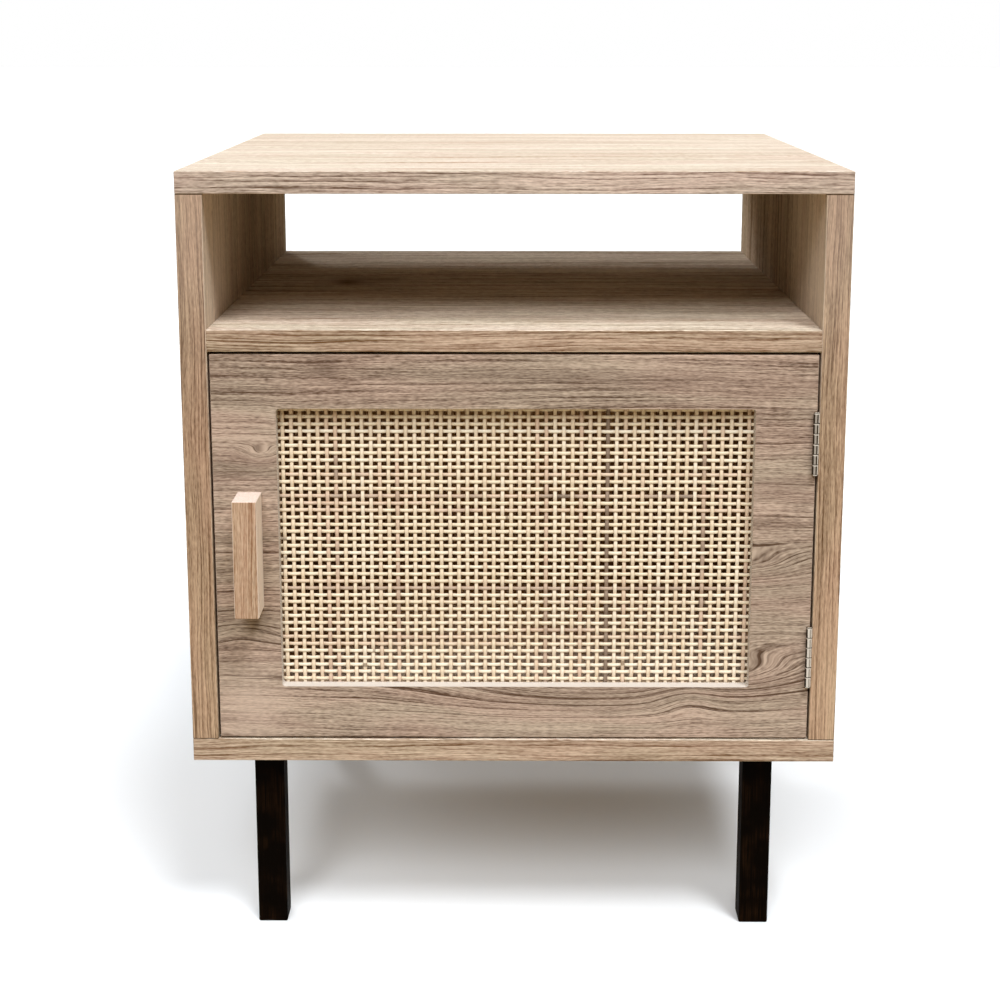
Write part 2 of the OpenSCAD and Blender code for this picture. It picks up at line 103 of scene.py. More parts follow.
# Noise of the cane, over the distance along a strand, and over the strand's number or its width
CANE_DRIFT = Layer(0.022, 3.7, 1.0, 2.0, 0.55, shift=2.0)
CANE_STREAK = Layer(0.05, 2.4, 3.7, 2.0, 0.25)
CANE_KNOT = Layer(0.11, 5.3, 1.0, 0.0, shift=8.0)
STRAND_STRAY = Layer(16.0, 4.9, 1.0, 1.0, 2.0)
STRAND_SWELL = Layer(45.0, 4.9, 1.0, 1.0, 0.22, shift=5.0)

# The farthest that the grain of an edge strip wanders, and its widest growth rings, in metres
EDGE_SWAY = 0.006
EDGE_RING = 0.0028
# How far the flecks of an edge strip swing its tone
EDGE_FLECK = 0.85
# How much finer end grain is than the grain along a solid piece
END_STRETCH = 40.0
# A board's seed also shifts its grain along the board, by so many millimetres each
SEED_SHIFT = 7.0
# Power and weight of the sharp line and of the soft shade at the end of a growth ring
RING_LINE = (7.0, 0.65)
RING_SHADE = (2.0, 0.45)
# Noise between these limits fades a ring out, down to the least weight that it keeps
RING_FADE_LIMITS = (0.30, 0.70)
RING_LEAST = 0.15
# Swells longer than this, in millimetres, are outlined by bold rings, one in every two
OUTLINED_LENGTH = 20.0
OUTLINE_PITCH = 0.5
OUTLINE_POWER = 9.0
OUTLINE_LIMITS = (0.02, 0.35)
# Pores open where their noise passes these limits, more so in the dark wood of a ring
PORE_LIMITS = (0.56, 0.70)
PORE_LEAST = 0.30
PORE_IN_RING = 0.8
PORE_STRENGTH = 0.75
# What is left of the dark grain's tone in a pore or joint, and in a knot
PORE_DEPTH = 0.36
KNOT_DEPTH = 0.9
# The tone of plain wood, from dark at 0 to light at 1
PLAIN_VALUE = 0.68
# Shares of a blush and of an olive cast, which take turns over a board
HUE_LIMITS = (0.35, 0.65)
BLUSH_SHARE = 0.14
OLIVE_SHARE = 0.30
WOOD_ROUGHNESS = 0.58
WOOD_ROUGHNESS_REACH = 0.22
# How much threads and rings add to the height of the wood, of which an open pore takes away 1
THREAD_RELIEF = 0.5
RING_RELIEF = -0.35
WOOD_BUMP = Bump(0.35, 0.00025)
# Half the width of a dark joint, and how far the cut edge of the window reaches past its corners,
# in millimetres
SEAM_HALF_WIDTH = 0.6
CUT_HAIR = 0.35

# Cells of the brush marks along a piece, as a share of those across it
BRUSH_STRETCH = 0.12
BRUSH_DETAIL = 3.0
BRUSH_REACH = 0.25
# What is left of a colour where metal is stained, and where a moulded skin is low
METAL_STAIN_DEPTH = 0.82
MATT_SKIN_DEPTH = 0.85
METAL_BUMP = Bump(0.12, 0.0001)
MATT_BUMP = Bump(0.2, 0.0001)
# Places round the barrel of a hinge, from its left to its right by the way its faces turn, at which
# # its painted tones meet: painted shade, painted reflections and a painted highlight
BARREL_PAINTED_LIGHT_STOPS = (0.16, 0.22, 0.46, 0.52, 0.70, 0.76)
# Shares of a knuckle's height: where the painted highlight on its lip starts, and how far from its
# # middle the dark joint does
KNUCKLE_HIGHLIGHT = 0.86
KNUCKLE_JOINT = 0.46
HINGE_ROUGHNESS = 0.34
# The lacquer is thin where both its own noise and the grain's pass these limits
WEAR_LIMITS = (0.42, 0.75)
WEAR_GRAIN_LIMITS = (0.35, 0.7)
LACQUER_ROUGHNESS = 0.55
LACQUER_SPECULAR = 0.015
LACQUER_BUMP = Bump(0.25, 0.0002)

# Weight of a strand's own tone, and the tone that all strands start from
STRAND_TONE = 0.85
STRAND_BASE = 0.15
# Places in the range of strand tones for shade, blush, cream twice and pale
CANE_STOPS = (0.06, 0.18, 0.36, 0.60, 0.92)
# How softly a darker lane starts and ends, in millimetres
LANE_FADE = 8.0
# Where each cast of a strand starts and is full, and how strong it is: streaks and knots by their
# # noise, painted shade where a strand sinks under another by the strand's height, and painted shade
# # along its sides by how far its face looks to the front
STREAK_LIMITS = (0.42, 0.74)
STREAK_STRENGTH = 0.30
DIP_SHADE_LIMITS = (-0.9, 0.2)
DIP_SHADE_STRENGTH = 0.32
RIM_SHADE_LIMITS = (0.25, 0.85)
RIM_SHADE_STRENGTH = 0.5
CANE_KNOT_LIMITS = (0.79, 0.84)
CANE_KNOT_STRENGTH = 0.7
CANE_ROUGHNESS = 0.55
CANE_SPECULAR = 0.12
CANE_BUMP = Bump(0.3, 0.0002)
# Sides of a strand's section, and steps in its length from one crossing to the next
STRAND_SIDES = 8
STEPS_PER_CROSSING = 4
BEVEL_STEPS = 4

DARK_UPRIGHTS = (
    Lane(-142, 190, 390, 0.42), Lane(-118, 190, 390, 0.38), Lane(-83, 190, 350, 0.32),
    Lane(65, 185, 395, 0.64), Lane(130, 240, 370, 0.42), Lane(19, 300, 390, 0.36),
    Lane(-53, 250, 390, 0.36), Lane(-36, 190, 300, 0.26), Lane(96, 185, 390, 0.22),
    Lane(150, 190, 300, 0.26),
)
DARK_LEVELS = (
    Lane(319, -165, -50, 0.58), Lane(264, -165, -40, 0.35), Lane(258.5, -165, 165, 0.84),
    Lane(217, -165, 0, 0.66), Lane(228.7, 0, 60, 0.80), Lane(228.7, 60, 125, 0.45),
    Lane(345, -70, 165, 0.32), Lane(363, 0, 165, 0.36), Lane(384, -165, 165, 0.26),
)
CANE_SPECKS = (
    Patch(314, -84, 2.2, 2.4, 0.9), Patch(305, -84, 2.0, 2.4, 0.9), Patch(281, -157, 1.4, 2.2, 0.8),
    Patch(333, 136, 1.6, 2.0, 0.8), Patch(376, 62, 2.4, 1.6, 0.8), Patch(301, -10, 1.6, 2.0, 0.6),
)
DOOR_SWELLS = (
    Swell(60, 196, 112, 26, 30), Swell(-172, 357, 13, 6, 7), Swell(122, 182, 22, 14, -12),
    Swell(160, 278, 42, 13, 16), Swell(160, 201, 40, 13, 11), Swell(-190, 232, 30, 14, -7),
)
DOOR_KNOTS = (
    Patch(-127, 417, 10, 8, 0.46), Patch(-167, 409, 1.5, 2.0, 0.7), Patch(-190, 345, 26, 11, 0.36),
    Patch(188, 336, 30, 8, 0.34), Patch(60, 409, 110, 6, 0.26), Patch(-200, 319, 5, 1.0, 0.6),
    Patch(-197, 294, 6, 1.0, 0.5),
)
DOOR_PALE_PATCHES = (Patch(-184, 176, 24, 34, 0.42), Patch(-10, 408, 230, 15, 0.05))
DOOR_DARK_PATCHES = (Patch(190, 270, 30, 46, 0.14), Patch(-186, 382, 24, 22, 0.12))
# Pale patches at the front of the niche's inner faces: painted light, where light falls into the niche
NICHE_PAINTED_LIGHT = (Patch(470, -212, 80, 130, 0.52),)
LEFT_PATCHES = (Patch(360, -216, 90, 60, 0.14),)
LOWER_PATCHES = (Patch(185, -216, 60, 60, 0.16), Patch(185, 216, 60, 60, 0.22))
UPPER_PATCHES = (Patch(520, -216, 90, 60, 0.26), Patch(520, 216, 90, 60, 0.30))
SHELF_KNOTS = (
    Patch(-126, 30, 22, 24, 0.5), Patch(-133, 26, 9, 14, 0.85), Patch(-104, 44, 18, 9, 0.6),
)
# A darker patch over the rear of the top: painted shade, the top darker towards its rear
TOP_REAR_SHADE = (Patch(40, 240, 420, 190, 0.22),)

# What one set of cane strands is laid by
STRAND_INPUTS = {
    "NodeSocketInt": ("Count", "Steps", "Seed"),
    "NodeSocketFloat": (
        "Pitch", "Length", "Crossing Start", "Crossing Pitch", "Lift", "Width", "Thickness", "Wander",
    ),
    "NodeSocketVector": ("Place",),
    "NodeSocketRotation": ("Rotation",),
    "NodeSocketMaterial": ("Finish",),
}


def linear(*display):
    """The scene linear colour of display values from 0 to 255."""
    shares = [value / 255.0 for value in display]
    return tuple(((s + 0.055) / 1.055) ** 2.4 if s > 0.04045 else s / 12.92 for s in shares)


BLUSH = linear(214, 178, 158)
OLIVE = linear(249, 252, 232)


def deepened(colour, depth):
    """A darker tone of a colour."""
    return tuple(depth * channel for channel in colour)


def tone(name, about, *display):
    """A colour property, whose default is given in display values."""
    return FloatVectorProperty(
        name=name, description=about, subtype="COLOR", size=3, min=0.0, max=1.0, default=linear(*display)
    )


def length(name, about, default, low=0.0, high=1.0):
    """A length property in metres."""
    return FloatProperty(name=name, description=about, default=default, min=low, max=high, unit="LENGTH")


def share(name, about, default, high=1.0):
    """A plain number property from 0 up."""
    return FloatProperty(name=name, description=about, default=default, min=0.0, max=high)


def turn(name, about, degrees):
    """An angle property, whose default is given in degrees."""
    return FloatProperty(name=name, description=about, default=math.radians(degrees), subtype="ANGLE")


class TopVeneer(PropertyGroup):
    """Veneer of the top panel."""

    light: tone("Light grain", "Palest tone of the top panel", 234, 226, 215)
    dark: tone("Dark grain", "Darkest tone of the top panel", 172, 146, 124)
    # The edge strips are partly a darker edge banding and partly painted light: the face is made paler
    # and the front edge darker, standing in for the top catching more light than the front
    strip_light: tone("Light edge grain", "Palest tone of the strips on the edges", 231, 213, 202)
    strip_dark: tone("Dark edge grain", "Darkest tone of the strips on the edges", 108, 86, 73)
    ring: length("Ring spacing", "Distance between two growth rings", 0.0046)
    ring_depth: share("Ring depth", "How much the growth rings darken the wood", 0.75, 2.0)
    sway: length("Sway", "How far the figure wanders across the board", 0.034)


class SideVeneer(PropertyGroup):
    """Veneer of the two side panels."""

    light: tone("Light grain", "Palest tone of the side panels", 234, 216, 194)
    dark: tone("Dark grain", "Darkest tone of the side panels", 112, 86, 62)
    strip_light: tone("Light edge grain", "Palest tone of the strips on the edges", 204, 176, 151)
    strip_dark: tone("Dark edge grain", "Darkest tone of the strips on the edges", 98, 71, 48)
    # Painted light: the pale tone laid on the niche's inner faces near its front
    inside: tone("Niche front", "Tone of the inner faces at the front of the niche", 250, 234, 217)
    lower: tone("Lower strip", "Paler tone low on the front strips", 222, 192, 160)
    upper: tone("Upper strip", "Greyer tone high on the front strips", 214, 195, 181)
    ring: length("Ring spacing", "Distance between two growth rings", 0.0038)
    ring_depth: share("Ring depth", "How much the growth rings darken the wood", 0.85, 2.0)
    sway: length("Sway", "How far the figure wanders across the board", 0.016)


class ShelfVeneer(PropertyGroup):
    """Veneer of the shelf under the niche, of the bottom panel and of the back panel."""

    light: tone("Light grain", "Palest tone of the three panels", 253, 242, 228)
    dark: tone("Dark grain", "Darkest tone of the three panels", 140, 112, 86)
    strip_light: tone("Light edge grain", "Palest tone of the strips on the edges", 219, 199, 179)
    strip_dark: tone("Dark edge grain", "Darkest tone of the strips on the edges", 116, 87, 63)
    ring: length("Ring spacing", "Distance between two growth rings", 0.0036)
    ring_depth: share("Ring depth", "How much the growth rings darken the wood", 0.85, 2.0)
    sway: length("Sway", "How far the figure wanders across the board", 0.010)


class DoorVeneer(PropertyGroup):
    """Veneer of the door and the pale edge of its window."""

    light: tone("Light grain", "Palest tone of the door", 209, 190, 175)
    dark: tone("Dark grain", "Darkest tone of the door", 98, 78, 65)
    strip_light: tone("Light edge grain", "Palest tone of the strips on the edges", 209, 190, 175)
    strip_dark: tone("Dark edge grain", "Darkest tone of the strips on the edges", 98, 78, 65)
    pale: tone("Pale patch", "Tone of the pale patches in the door's veneer", 222, 200, 184)
    cut: tone("Window edge", "Pale cut edge round the cane", 213, 205, 197)
    ring: length("Ring spacing", "Distance between two growth rings", 0.0044)
    ring_depth: share("Ring depth", "How much the growth rings darken the wood", 0.7, 2.0)
    sway: length("Sway", "How far the figure wanders across the board", 0.007)


class PullWood(PropertyGroup):
    """Wood and rounding of the door pull."""

    light: tone("Light grain", "Palest tone of the pull", 215, 187, 164)
    dark: tone("Dark grain", "Darkest tone of the pull", 146, 108, 80)
    ends: tone("End grain", "Pale sawn ends of the pull", 236, 219, 208)
    # Painted light: the pull's sides are made paler, standing in for light falling on them
    painted_light_flanks: tone("Flanks", "Pale sides of the pull", 255, 241, 227)
    ring: length("Ring spacing", "Distance between two growth rings", 0.0064)
    ring_depth: share("Ring depth", "How much the growth rings darken the wood", 0.75, 2.0)
    sway: length("Sway", "How far the figure wanders across the block", 0.006)
    rounding: length("Edge rounding", "Radius of the pull's edges", 0.0008)


class PlainWood(PropertyGroup):
    """Wood of the beads behind the cane and of the dowels."""

    light: tone("Light grain", "Palest tone of beads and dowels", 226, 204, 176)
    dark: tone("Dark grain", "Darkest tone of beads and dowels", 168, 136, 106)
    ring: length("Ring spacing", "Distance between two growth rings", 0.0030)
    ring_depth: share("Ring depth", "How much the growth rings darken the wood", 0.8, 2.0)
    sway: length("Sway", "How far the figure wanders across the strip", 0.003)


class CaneWeave(PropertyGroup):
    """Woven cane in the door's window."""

    pitch_across: length("Pitch across", "Distance between two upright strands", 0.00603)
    pitch_down: length("Pitch down", "Distance between two level strands", 0.00508)
    upright_width: length("Upright width", "Width of an upright strand", 0.0027)
    level_width: length("Level width", "Width of a level strand", 0.00242)
    thickness: length("Thickness", "Thickness of a strand", 0.0007)
    lift: length("Lift", "How far a strand rises over a crossing", 0.00038)
    wander: length("Wander", "How far a strand strays from its straight line", 0.00045)
    pale: tone("Pale strand", "Tone of the palest strands", 255, 248, 230)
    cream: tone("Cream strand", "Tone of most strands", 247, 235, 211)
    blush: tone("Blush strand", "Tone of the pinkish strands", 230, 208, 188)
    shade: tone("Dark strand", "Tone of the few grey brown strands", 146, 131, 117)
    streak: tone("Streak", "Cast of the fine streaks along a strand", 226, 200, 160)
    # Painted shade: darker where a strand sinks under a crossing strand
    dip_shade: tone("Dip", "Cast of a strand where it dips under another", 214, 196, 176)
    # Painted shade: darker along each strand's sides, where its face turns away from the front
    rim_shade: tone("Rim", "Cast of a strand along its sides", 188, 146, 98)
    knot: tone("Knot", "Tone of the small nodes of a strand", 120, 96, 74)
    speck: tone("Speck", "Tone of the few dark splinters", 58, 42, 34)
    upright_cast: tone("Upright cast", "Cast of the upright strands", 249, 244, 242)
    seed: IntProperty(name="Seed", description="Chooses which strands are pale or dark", default=11)


class Legs(PropertyGroup):
    """Black lacquered legs."""

    lacquer: tone("Lacquer", "Colour of the legs", 6, 3, 1)
    worn: tone("Worn lacquer", "Colour where the lacquer is thin", 36, 22, 12)
    rounding: length("Edge rounding", "Radius of the legs' edges", 0.0012)


class Fittings(PropertyGroup):
    """Metal, plastic and ferrite of hinges, screws, bolts and catch."""

    # On the hinge barrels these tones are laid by the way each face turns: the nickel also as a painted
    # highlight at the right and on each knuckle's lip, the next as a dim painted reflection, and the
    # dark one, besides the dark joints between knuckles, as painted shade and a dark painted reflection
    nickel: tone("Nickel", "Plating of hinges and their screws", 196, 184, 168)
    painted_dim_reflection: tone("Dull nickel", "Plating of the hinges where it is rubbed", 146, 134, 120)
    dark_joint_and_shade: tone("Tarnish", "Dark joints and tarnish of the hinges", 52, 42, 30)
    zinc: tone("Zinc", "Plating of bolts, inserts, pole plates and strike", 206, 209, 212)
    plastic: tone("Plastic", "Housing of the magnetic catch", 228, 222, 208)
    ferrite: tone("Ferrite", "Magnet of the catch", 54, 54, 56)


class Studio(PropertyGroup):
    """Camera, lamps, sky and floor."""

    lens: FloatProperty(name="Lens", description="Focal length in millimetres", default=66.14, min=1.0)
    shift: FloatProperty(name="Shift", description="Upright shift of the camera", default=-0.10)
    place: FloatVectorProperty(
        name="Camera place", description="Place of the camera", subtype="XYZ", unit="LENGTH",
        default=(-0.0014, -1.4288, 0.6407),
    )
    tilt: turn("Camera tilt", "How far the camera looks down", 11.405)
    swing: turn("Camera swing", "How far the camera looks to the left", 0.371)
    key_level: share("Key level", "Level of the main lamp on a face turned to it", 0.66, 4.0)
    key_height: turn("Key height", "Angle of the main lamp above the floor", 60.0)
    key_side: turn("Key side", "Angle of the main lamp to the right of the front", 30.0)
    key_size: turn("Key size", "Apparent width of the main lamp", 18.0)
    fill_level: share("Fill level", "Level of the wide front lamp on a face turned to it", 0.50, 4.0)
    fill_height: turn("Fill height", "Angle of the wide front lamp above the floor", 41.0)
    fill_side: turn("Fill side", "Angle of the wide front lamp to the right of the front", -10.0)
    fill_size: turn("Fill size", "Apparent width of the wide front lamp", 24.0)
    back_level: share("Back level", "Level of the rear lamp on a face turned to it", 0.20, 4.0)
    back_height: turn("Back height", "Angle of the rear lamp above the floor", 36.0)
    back_side: turn("Back side", "Angle of the rear lamp to the right of the front", -160.0)
    back_size: turn("Back size", "Apparent width of the rear lamp", 7.0)
    side_level: share("Side level", "Level of the low left lamp on a face turned to it", 0.26, 4.0)
    side_height: turn("Side height", "Angle of the low left lamp above the floor", 26.0)
    side_side: turn("Side side", "Angle of the low left lamp to the right of the front", -112.0)
    side_size: turn("Side size", "Apparent width of the low left lamp", 40.0)
    sky_low: share("Sky low", "Level of the light from the horizon", 0.005, 4.0)
    sky_rise: share("Sky rise", "How much brighter the sky's light is overhead", 0.54, 4.0)
    sky_blend: share("Sky blend", "Height on the sky at which its tint has turned white", 0.6)
    sky_tone: tone("Sky tone", "Tint of the light from the horizon", 255, 236, 212)
    glow_power: share("Glow power", "Watts of the light that filters through the cane", 0.040, 10.0)
    glow_tone: tone("Glow tone", "Tint of the light that filters through the cane", 255, 172, 20)
    glow_size: length("Glow size", "Radius of the light inside the cupboard", 0.05)
    floor_white: tone("Floor white", "Colour of the floor as it is seen", 241, 245, 249)
    floor_lift: share("Floor lift", "Light that the seen floor adds, so that it ends in white", 0.03)
    floor_bounce: tone("Floor bounce", "Colour of the floor as it lights the table", 156, 140, 112)
    floor_reach: length("Floor reach", "Half the width of the floor", 30.0, 1.0, 100.0)


def identified(sockets, identifier):
    """The socket with that identifier."""
    return next(socket for socket in sockets if socket.identifier == identifier)


class Nodes:
    """Adds and wires the nodes of one tree, so that a finish reads as a list of steps."""

    def __init__(self, tree):
        self.tree = tree

    def feed(self, socket, value):
        """Sets a socket to a number or colour, or links it to another socket."""
        if isinstance(value, bpy.types.NodeSocket):
            self.tree.links.new(value, socket)
        elif socket.type == "RGBA":
            socket.default_value = (*value, 1.0)
        else:
            socket.default_value = value

    def fill(self, node, **inputs):
        """Feeds the inputs of a node, named with _ for a space."""
        for name, value in inputs.items():
            self.feed(node.inputs[name.replace("_", " ")], value)

    def add(self, kind, settings=None, **inputs):
        """A new node with its settings and inputs."""
        node = self.tree.nodes.new(kind)
        for name, value in (settings or {}).items():
            setattr(node, name, value)
        self.fill(node, **inputs)
        return node

    def math(self, operation, *values, clamp=False):
        """One step of arithmetic."""
        node = self.add("ShaderNodeMath", {"operation": operation, "use_clamp": clamp})
        for socket, value in zip(node.inputs, values):
            self.feed(socket, value)
        return node.outputs[0]

    plus = partialmethod(math, "ADD")
    minus = partialmethod(math, "SUBTRACT")
    times = partialmethod(math, "MULTIPLY")
    over = partialmethod(math, "DIVIDE")
    larger = partialmethod(math, "MAXIMUM")
    # These two give 1 where the first value lies below or above the second
    below = partialmethod(math, "LESS_THAN")
    above = partialmethod(math, "GREATER_THAN")

    def rest(self, value):
        """What a share leaves of 1."""
        return self.minus(1.0, value)

    def distance(self, value, middle=0.0):
        """How far a value lies from another, either way."""
        return self.math("ABSOLUTE", self.minus(value, middle) if middle else value)

    def swing(self, value, reach):
        """A noise value, which lies round a half, as a swing of that reach round zero."""
        return self.times(self.minus(value, 0.5), reach)

    def mix(self, factor, first, second, kind="Float", blend="MIX"):
        """A blend of two values."""
        data = {"Float": "FLOAT", "Color": "RGBA"}[kind]
        node = self.add("ShaderNodeMix", {"data_type": data, "blend_type": blend})
        self.feed(identified(node.inputs, "Factor_Float"), factor)
        self.feed(identified(node.inputs, "A_" + kind), first)
        self.feed(identified(node.inputs, "B_" + kind), second)
        return identified(node.outputs, "Result_" + kind)

    def tint(self, factor, first, second, blend="MIX"):
        """A blend of two colours."""
        return self.mix(factor, first, second, "Color", blend)

    def point(self, x, y, z=0.0):
        """A point from three values."""
        return self.add("ShaderNodeCombineXYZ", X=x, Y=y, Z=z).outputs[0]

    def parts(self, vector):
        """The three values of a point."""
        node = self.add("ShaderNodeSeparateXYZ", Vector=vector)
        return {axis: node.outputs[axis] for axis in "XYZ"}

    def noise(self, layer, x, y, z=0.0):
        """Soft noise round a half, from one layer and three coordinates. A third coordinate that is
        a plain number, such as a seed, is shifted and not scaled."""
        varies = isinstance(z, bpy.types.NodeSocket)
        depth = self.times(z, layer.z) if varies else z + layer.shift
        place = self.point(self.times(x, layer.x), self.times(y, layer.y), depth)
        node = self.add(
            "ShaderNodeTexNoise", Vector=place, Scale=1.0, Detail=layer.detail, Roughness=layer.roughness
        )
        return node.outputs[0]

    def waver(self, layer, *point):
        """One layer of noise, as a swing round zero."""
        return self.swing(self.noise(layer, *point), layer.reach)

    def slope(self, value, low, high):
        """0 up to low, 1 from high on, and smooth between them."""
        smooth = {"interpolation_type": "SMOOTHSTEP"}
        node = self.add("ShaderNodeMapRange", smooth, Value=value, From_Min=low, From_Max=high)
        return node.outputs[0]

    def ramp(self, value, places, colours):
        """A colour picked from stops, each with its place and colour."""
        node = self.add("ShaderNodeValToRGB", Fac=value)
        elements = node.color_ramp.elements
        while len(elements) < len(places):
            elements.new(1.0)
        for element, place, colour in zip(elements, places, colours):
            element.position = place
            element.color = (*colour, 1.0)
        return node.outputs["Color"]

    def hump(self, along, across, spot):
        """1 at the middle of a swell or patch, falling to 0 past its reach."""
        far_along = self.over(self.minus(along, spot.along), spot.length)
        far_across = self.over(self.minus(across, spot.across), spot.width)
        reach = self.plus(self.times(far_along, far_along), self.times(far_across, far_across))
        return self.math("EXPONENT", self.times(reach, -1.0))


def new_material(name):
    """A material and the tools to wire it, with the point on the piece, in millimetres, and the way
    its face looks, as three values each."""
    material = bpy.data.materials.new(name)
    material.use_nodes = True
    nodes = Nodes(material.node_tree)
    coordinates = nodes.add("ShaderNodeTexCoord").outputs
    scale = {"operation": "SCALE"}
    place = nodes.add("ShaderNodeVectorMath", scale, Vector=coordinates["Object"], Scale=MILLIMETRES)
    return material, nodes, nodes.parts(place.outputs[0]), nodes.parts(coordinates["Normal"])


def coat(nodes, height=None, bump=None, **inputs):
    """Feeds a material's surface, and gives it a bump of a height."""
    surface = nodes.tree.nodes["Principled BSDF"]
    nodes.fill(surface, **inputs)
    if bump:
        relief = nodes.add("ShaderNodeBump", Height=height, Strength=bump.strength, Distance=bump.depth)
        nodes.fill(surface, Normal=relief.outputs[0])


def grain_frame(nodes, place, facing, thin, side, grain, seed, solid):
    """Distances along the grain, across it and into the wood, and whether a point is on an edge.
    Edges and ends of a board carry a strip of veneer laid along the edge, and a solid piece shows
    end grain on its ends."""
    on_edge = nodes.below(nodes.distance(facing[thin]), WIDE_FACE)
    on_end = nodes.above(nodes.distance(facing[grain]), END_FACE)
    across = nodes.mix(on_edge, place[side], place[thin])
    depth = nodes.plus(nodes.mix(on_edge, place[thin], place[side]), seed)
    end_grain = nodes.times(place[side], END_STRETCH) if solid else place[side]
    along = nodes.plus(nodes.mix(on_end, place[grain], end_grain), seed * SEED_SHIFT)
    return along, across, depth, on_edge


def growth_rings(nodes, look, line, along, seed, on_edge):
    """The count of growth rings over a line across them, and how dark a point of a ring is."""
    plus, times = nodes.plus, nodes.times
    spacing = nodes.mix(on_edge, look.ring * MILLIMETRES, min(look.ring, EDGE_RING) * MILLIMETRES)
    rings = plus(nodes.over(line, spacing), nodes.waver(RING_DRIFT, line, along, seed))
    through = nodes.rest(nodes.math("FRACT", rings))
    sharp, soft = (
        times(nodes.math("POWER", through, power), weight) for power, weight in (RING_LINE, RING_SHADE)
    )
    fade = nodes.slope(nodes.noise(RING_FADE, rings, along, seed), *RING_FADE_LIMITS)
    return rings, times(plus(sharp, soft), plus(fade, RING_LEAST))


def wood(name, look, thin, grain, seed, swells=(), marks=(), solid=False):
    """Clear lacquered wood: figure, growth rings, fibres and pores that follow the grain. Thin and
    grain name the axes through the piece and along its grain, and marks are what lies over the
    grain, such as patches and pale cut edges."""
    material, nodes, place, facing = new_material(name)
    noise, waver, swing, plus, times = nodes.noise, nodes.waver, nodes.swing, nodes.plus, nodes.times
    side = next(axis for axis in "XYZ" if axis not in (thin, grain))
    along, across, depth, on_edge = grain_frame(nodes, place, facing, thin, side, grain, seed, solid)

    sway = nodes.mix(on_edge, look.sway, min(look.sway, EDGE_SWAY))
    reach = times(sway, FIGURE.reach * MILLIMETRES)
    line = plus(across, swing(noise(FIGURE, along, across, depth), reach))
    line = plus(line, waver(BEND, along, across, depth))
    outlined = 0.0
    for swell in swells:
        near = nodes.hump(place[grain], place[side], swell)
        line = plus(line, times(near, swell.height))
        if swell.length > OUTLINED_LENGTH:
            outlined = nodes.larger(outlined, near)
    rings, late = growth_rings(nodes, look, line, along, seed, on_edge)
    ringed = late
    if swells:
        bold = nodes.rest(nodes.math("FRACT", times(rings, OUTLINE_PITCH)))
        bold = nodes.math("POWER", bold, OUTLINE_POWER)
        ringed = plus(late, times(bold, nodes.slope(outlined, *OUTLINE_LIMITS)))

    fibre = noise(FIBRE, along, line, depth)
    thread = noise(THREAD, along, line, depth)
    fleck = swing(noise(FLECK, along, line, depth), nodes.mix(on_edge, FLECK.reach, EDGE_FLECK))
    pore = nodes.slope(noise(PORE, along, line, seed), *PORE_LIMITS)
    pore = times(pore, plus(times(late, PORE_IN_RING), PORE_LEAST))
    value = plus(PLAIN_VALUE, swing(fibre, FIBRE.reach))
    value = plus(value, plus(swing(thread, THREAD.reach), fleck))
    value = plus(value, waver(FINE_BAND, line, along, seed))
    value = plus(value, waver(BROAD_BAND, line, along, seed))
    value = plus(value, times(ringed, -look.ring_depth), clamp=True)

    colour = nodes.tint(value, look.dark, look.light)
    if not solid:
        strip = nodes.tint(value, look.strip_dark, look.strip_light)
        colour = nodes.tint(on_edge, colour, strip)
    hue = nodes.slope(noise(HUE, along, line, seed), *HUE_LIMITS)
    colour = nodes.tint(times(hue, BLUSH_SHARE), colour, BLUSH, "OVERLAY")
    colour = nodes.tint(times(nodes.rest(hue), OLIVE_SHARE), colour, OLIVE, "MULTIPLY")
    colour = nodes.tint(times(pore, PORE_STRENGTH), colour, deepened(look.dark, PORE_DEPTH))
    for mark in marks:
        for amount, shade in mark(nodes, place, facing):
            colour = nodes.tint(amount, colour, shade)

    roughness = plus(WOOD_ROUGHNESS, swing(fibre, WOOD_ROUGHNESS_REACH))
    height = plus(times(pore, -1.0), plus(swing(thread, THREAD_RELIEF), times(late, RING_RELIEF)))
    coat(nodes, height, WOOD_BUMP, Base_Color=colour, Roughness=roughness, Specular_IOR_Level=0.0)
    return material


# Besides knots and tones of the wood, these patches paint light and shade: a pale tone at the front of
# the niche, and a darker one at the rear of the top
def stains_and_painted_light(along, across, patches, colour, direction):
    """Marks patches on the one wide face that looks in a direction, 1 or -1, along the third axis.
    They are placed by distances along the other two axes of the piece."""
    def mark(nodes, place, facing):
        through = next(axis for axis in "XYZ" if axis not in (along, across))
        on_face = nodes.above(nodes.times(facing[through], direction), WIDE_FACE)
        for patch in patches:
            spot = nodes.times(nodes.hump(place[along], place[across], patch), patch.strength)
            yield nodes.times(spot, on_face), colour
    return mark


def seam_line(height, colour):
    """Marks the dark joint where another panel lies on a panel's edge."""
    def mark(nodes, place, facing):
        yield nodes.below(nodes.distance(place["Z"], height * MILLIMETRES), SEAM_HALF_WIDTH), colour
    return mark


# On the pull this lays painted light on its sides, and a pale tone on its ends
def faces_along(axis, strength, colour):
    """Marks the faces that look along an axis of an upright piece, either way, with streaks in
    which its own tone shows."""
    def mark(nodes, place, facing):
        looking = nodes.above(nodes.distance(facing[axis]), END_FACE)
        streak = nodes.waver(PALE_STREAK, *place.values())
        yield nodes.times(looking, nodes.plus(strength, streak)), colour
    return mark


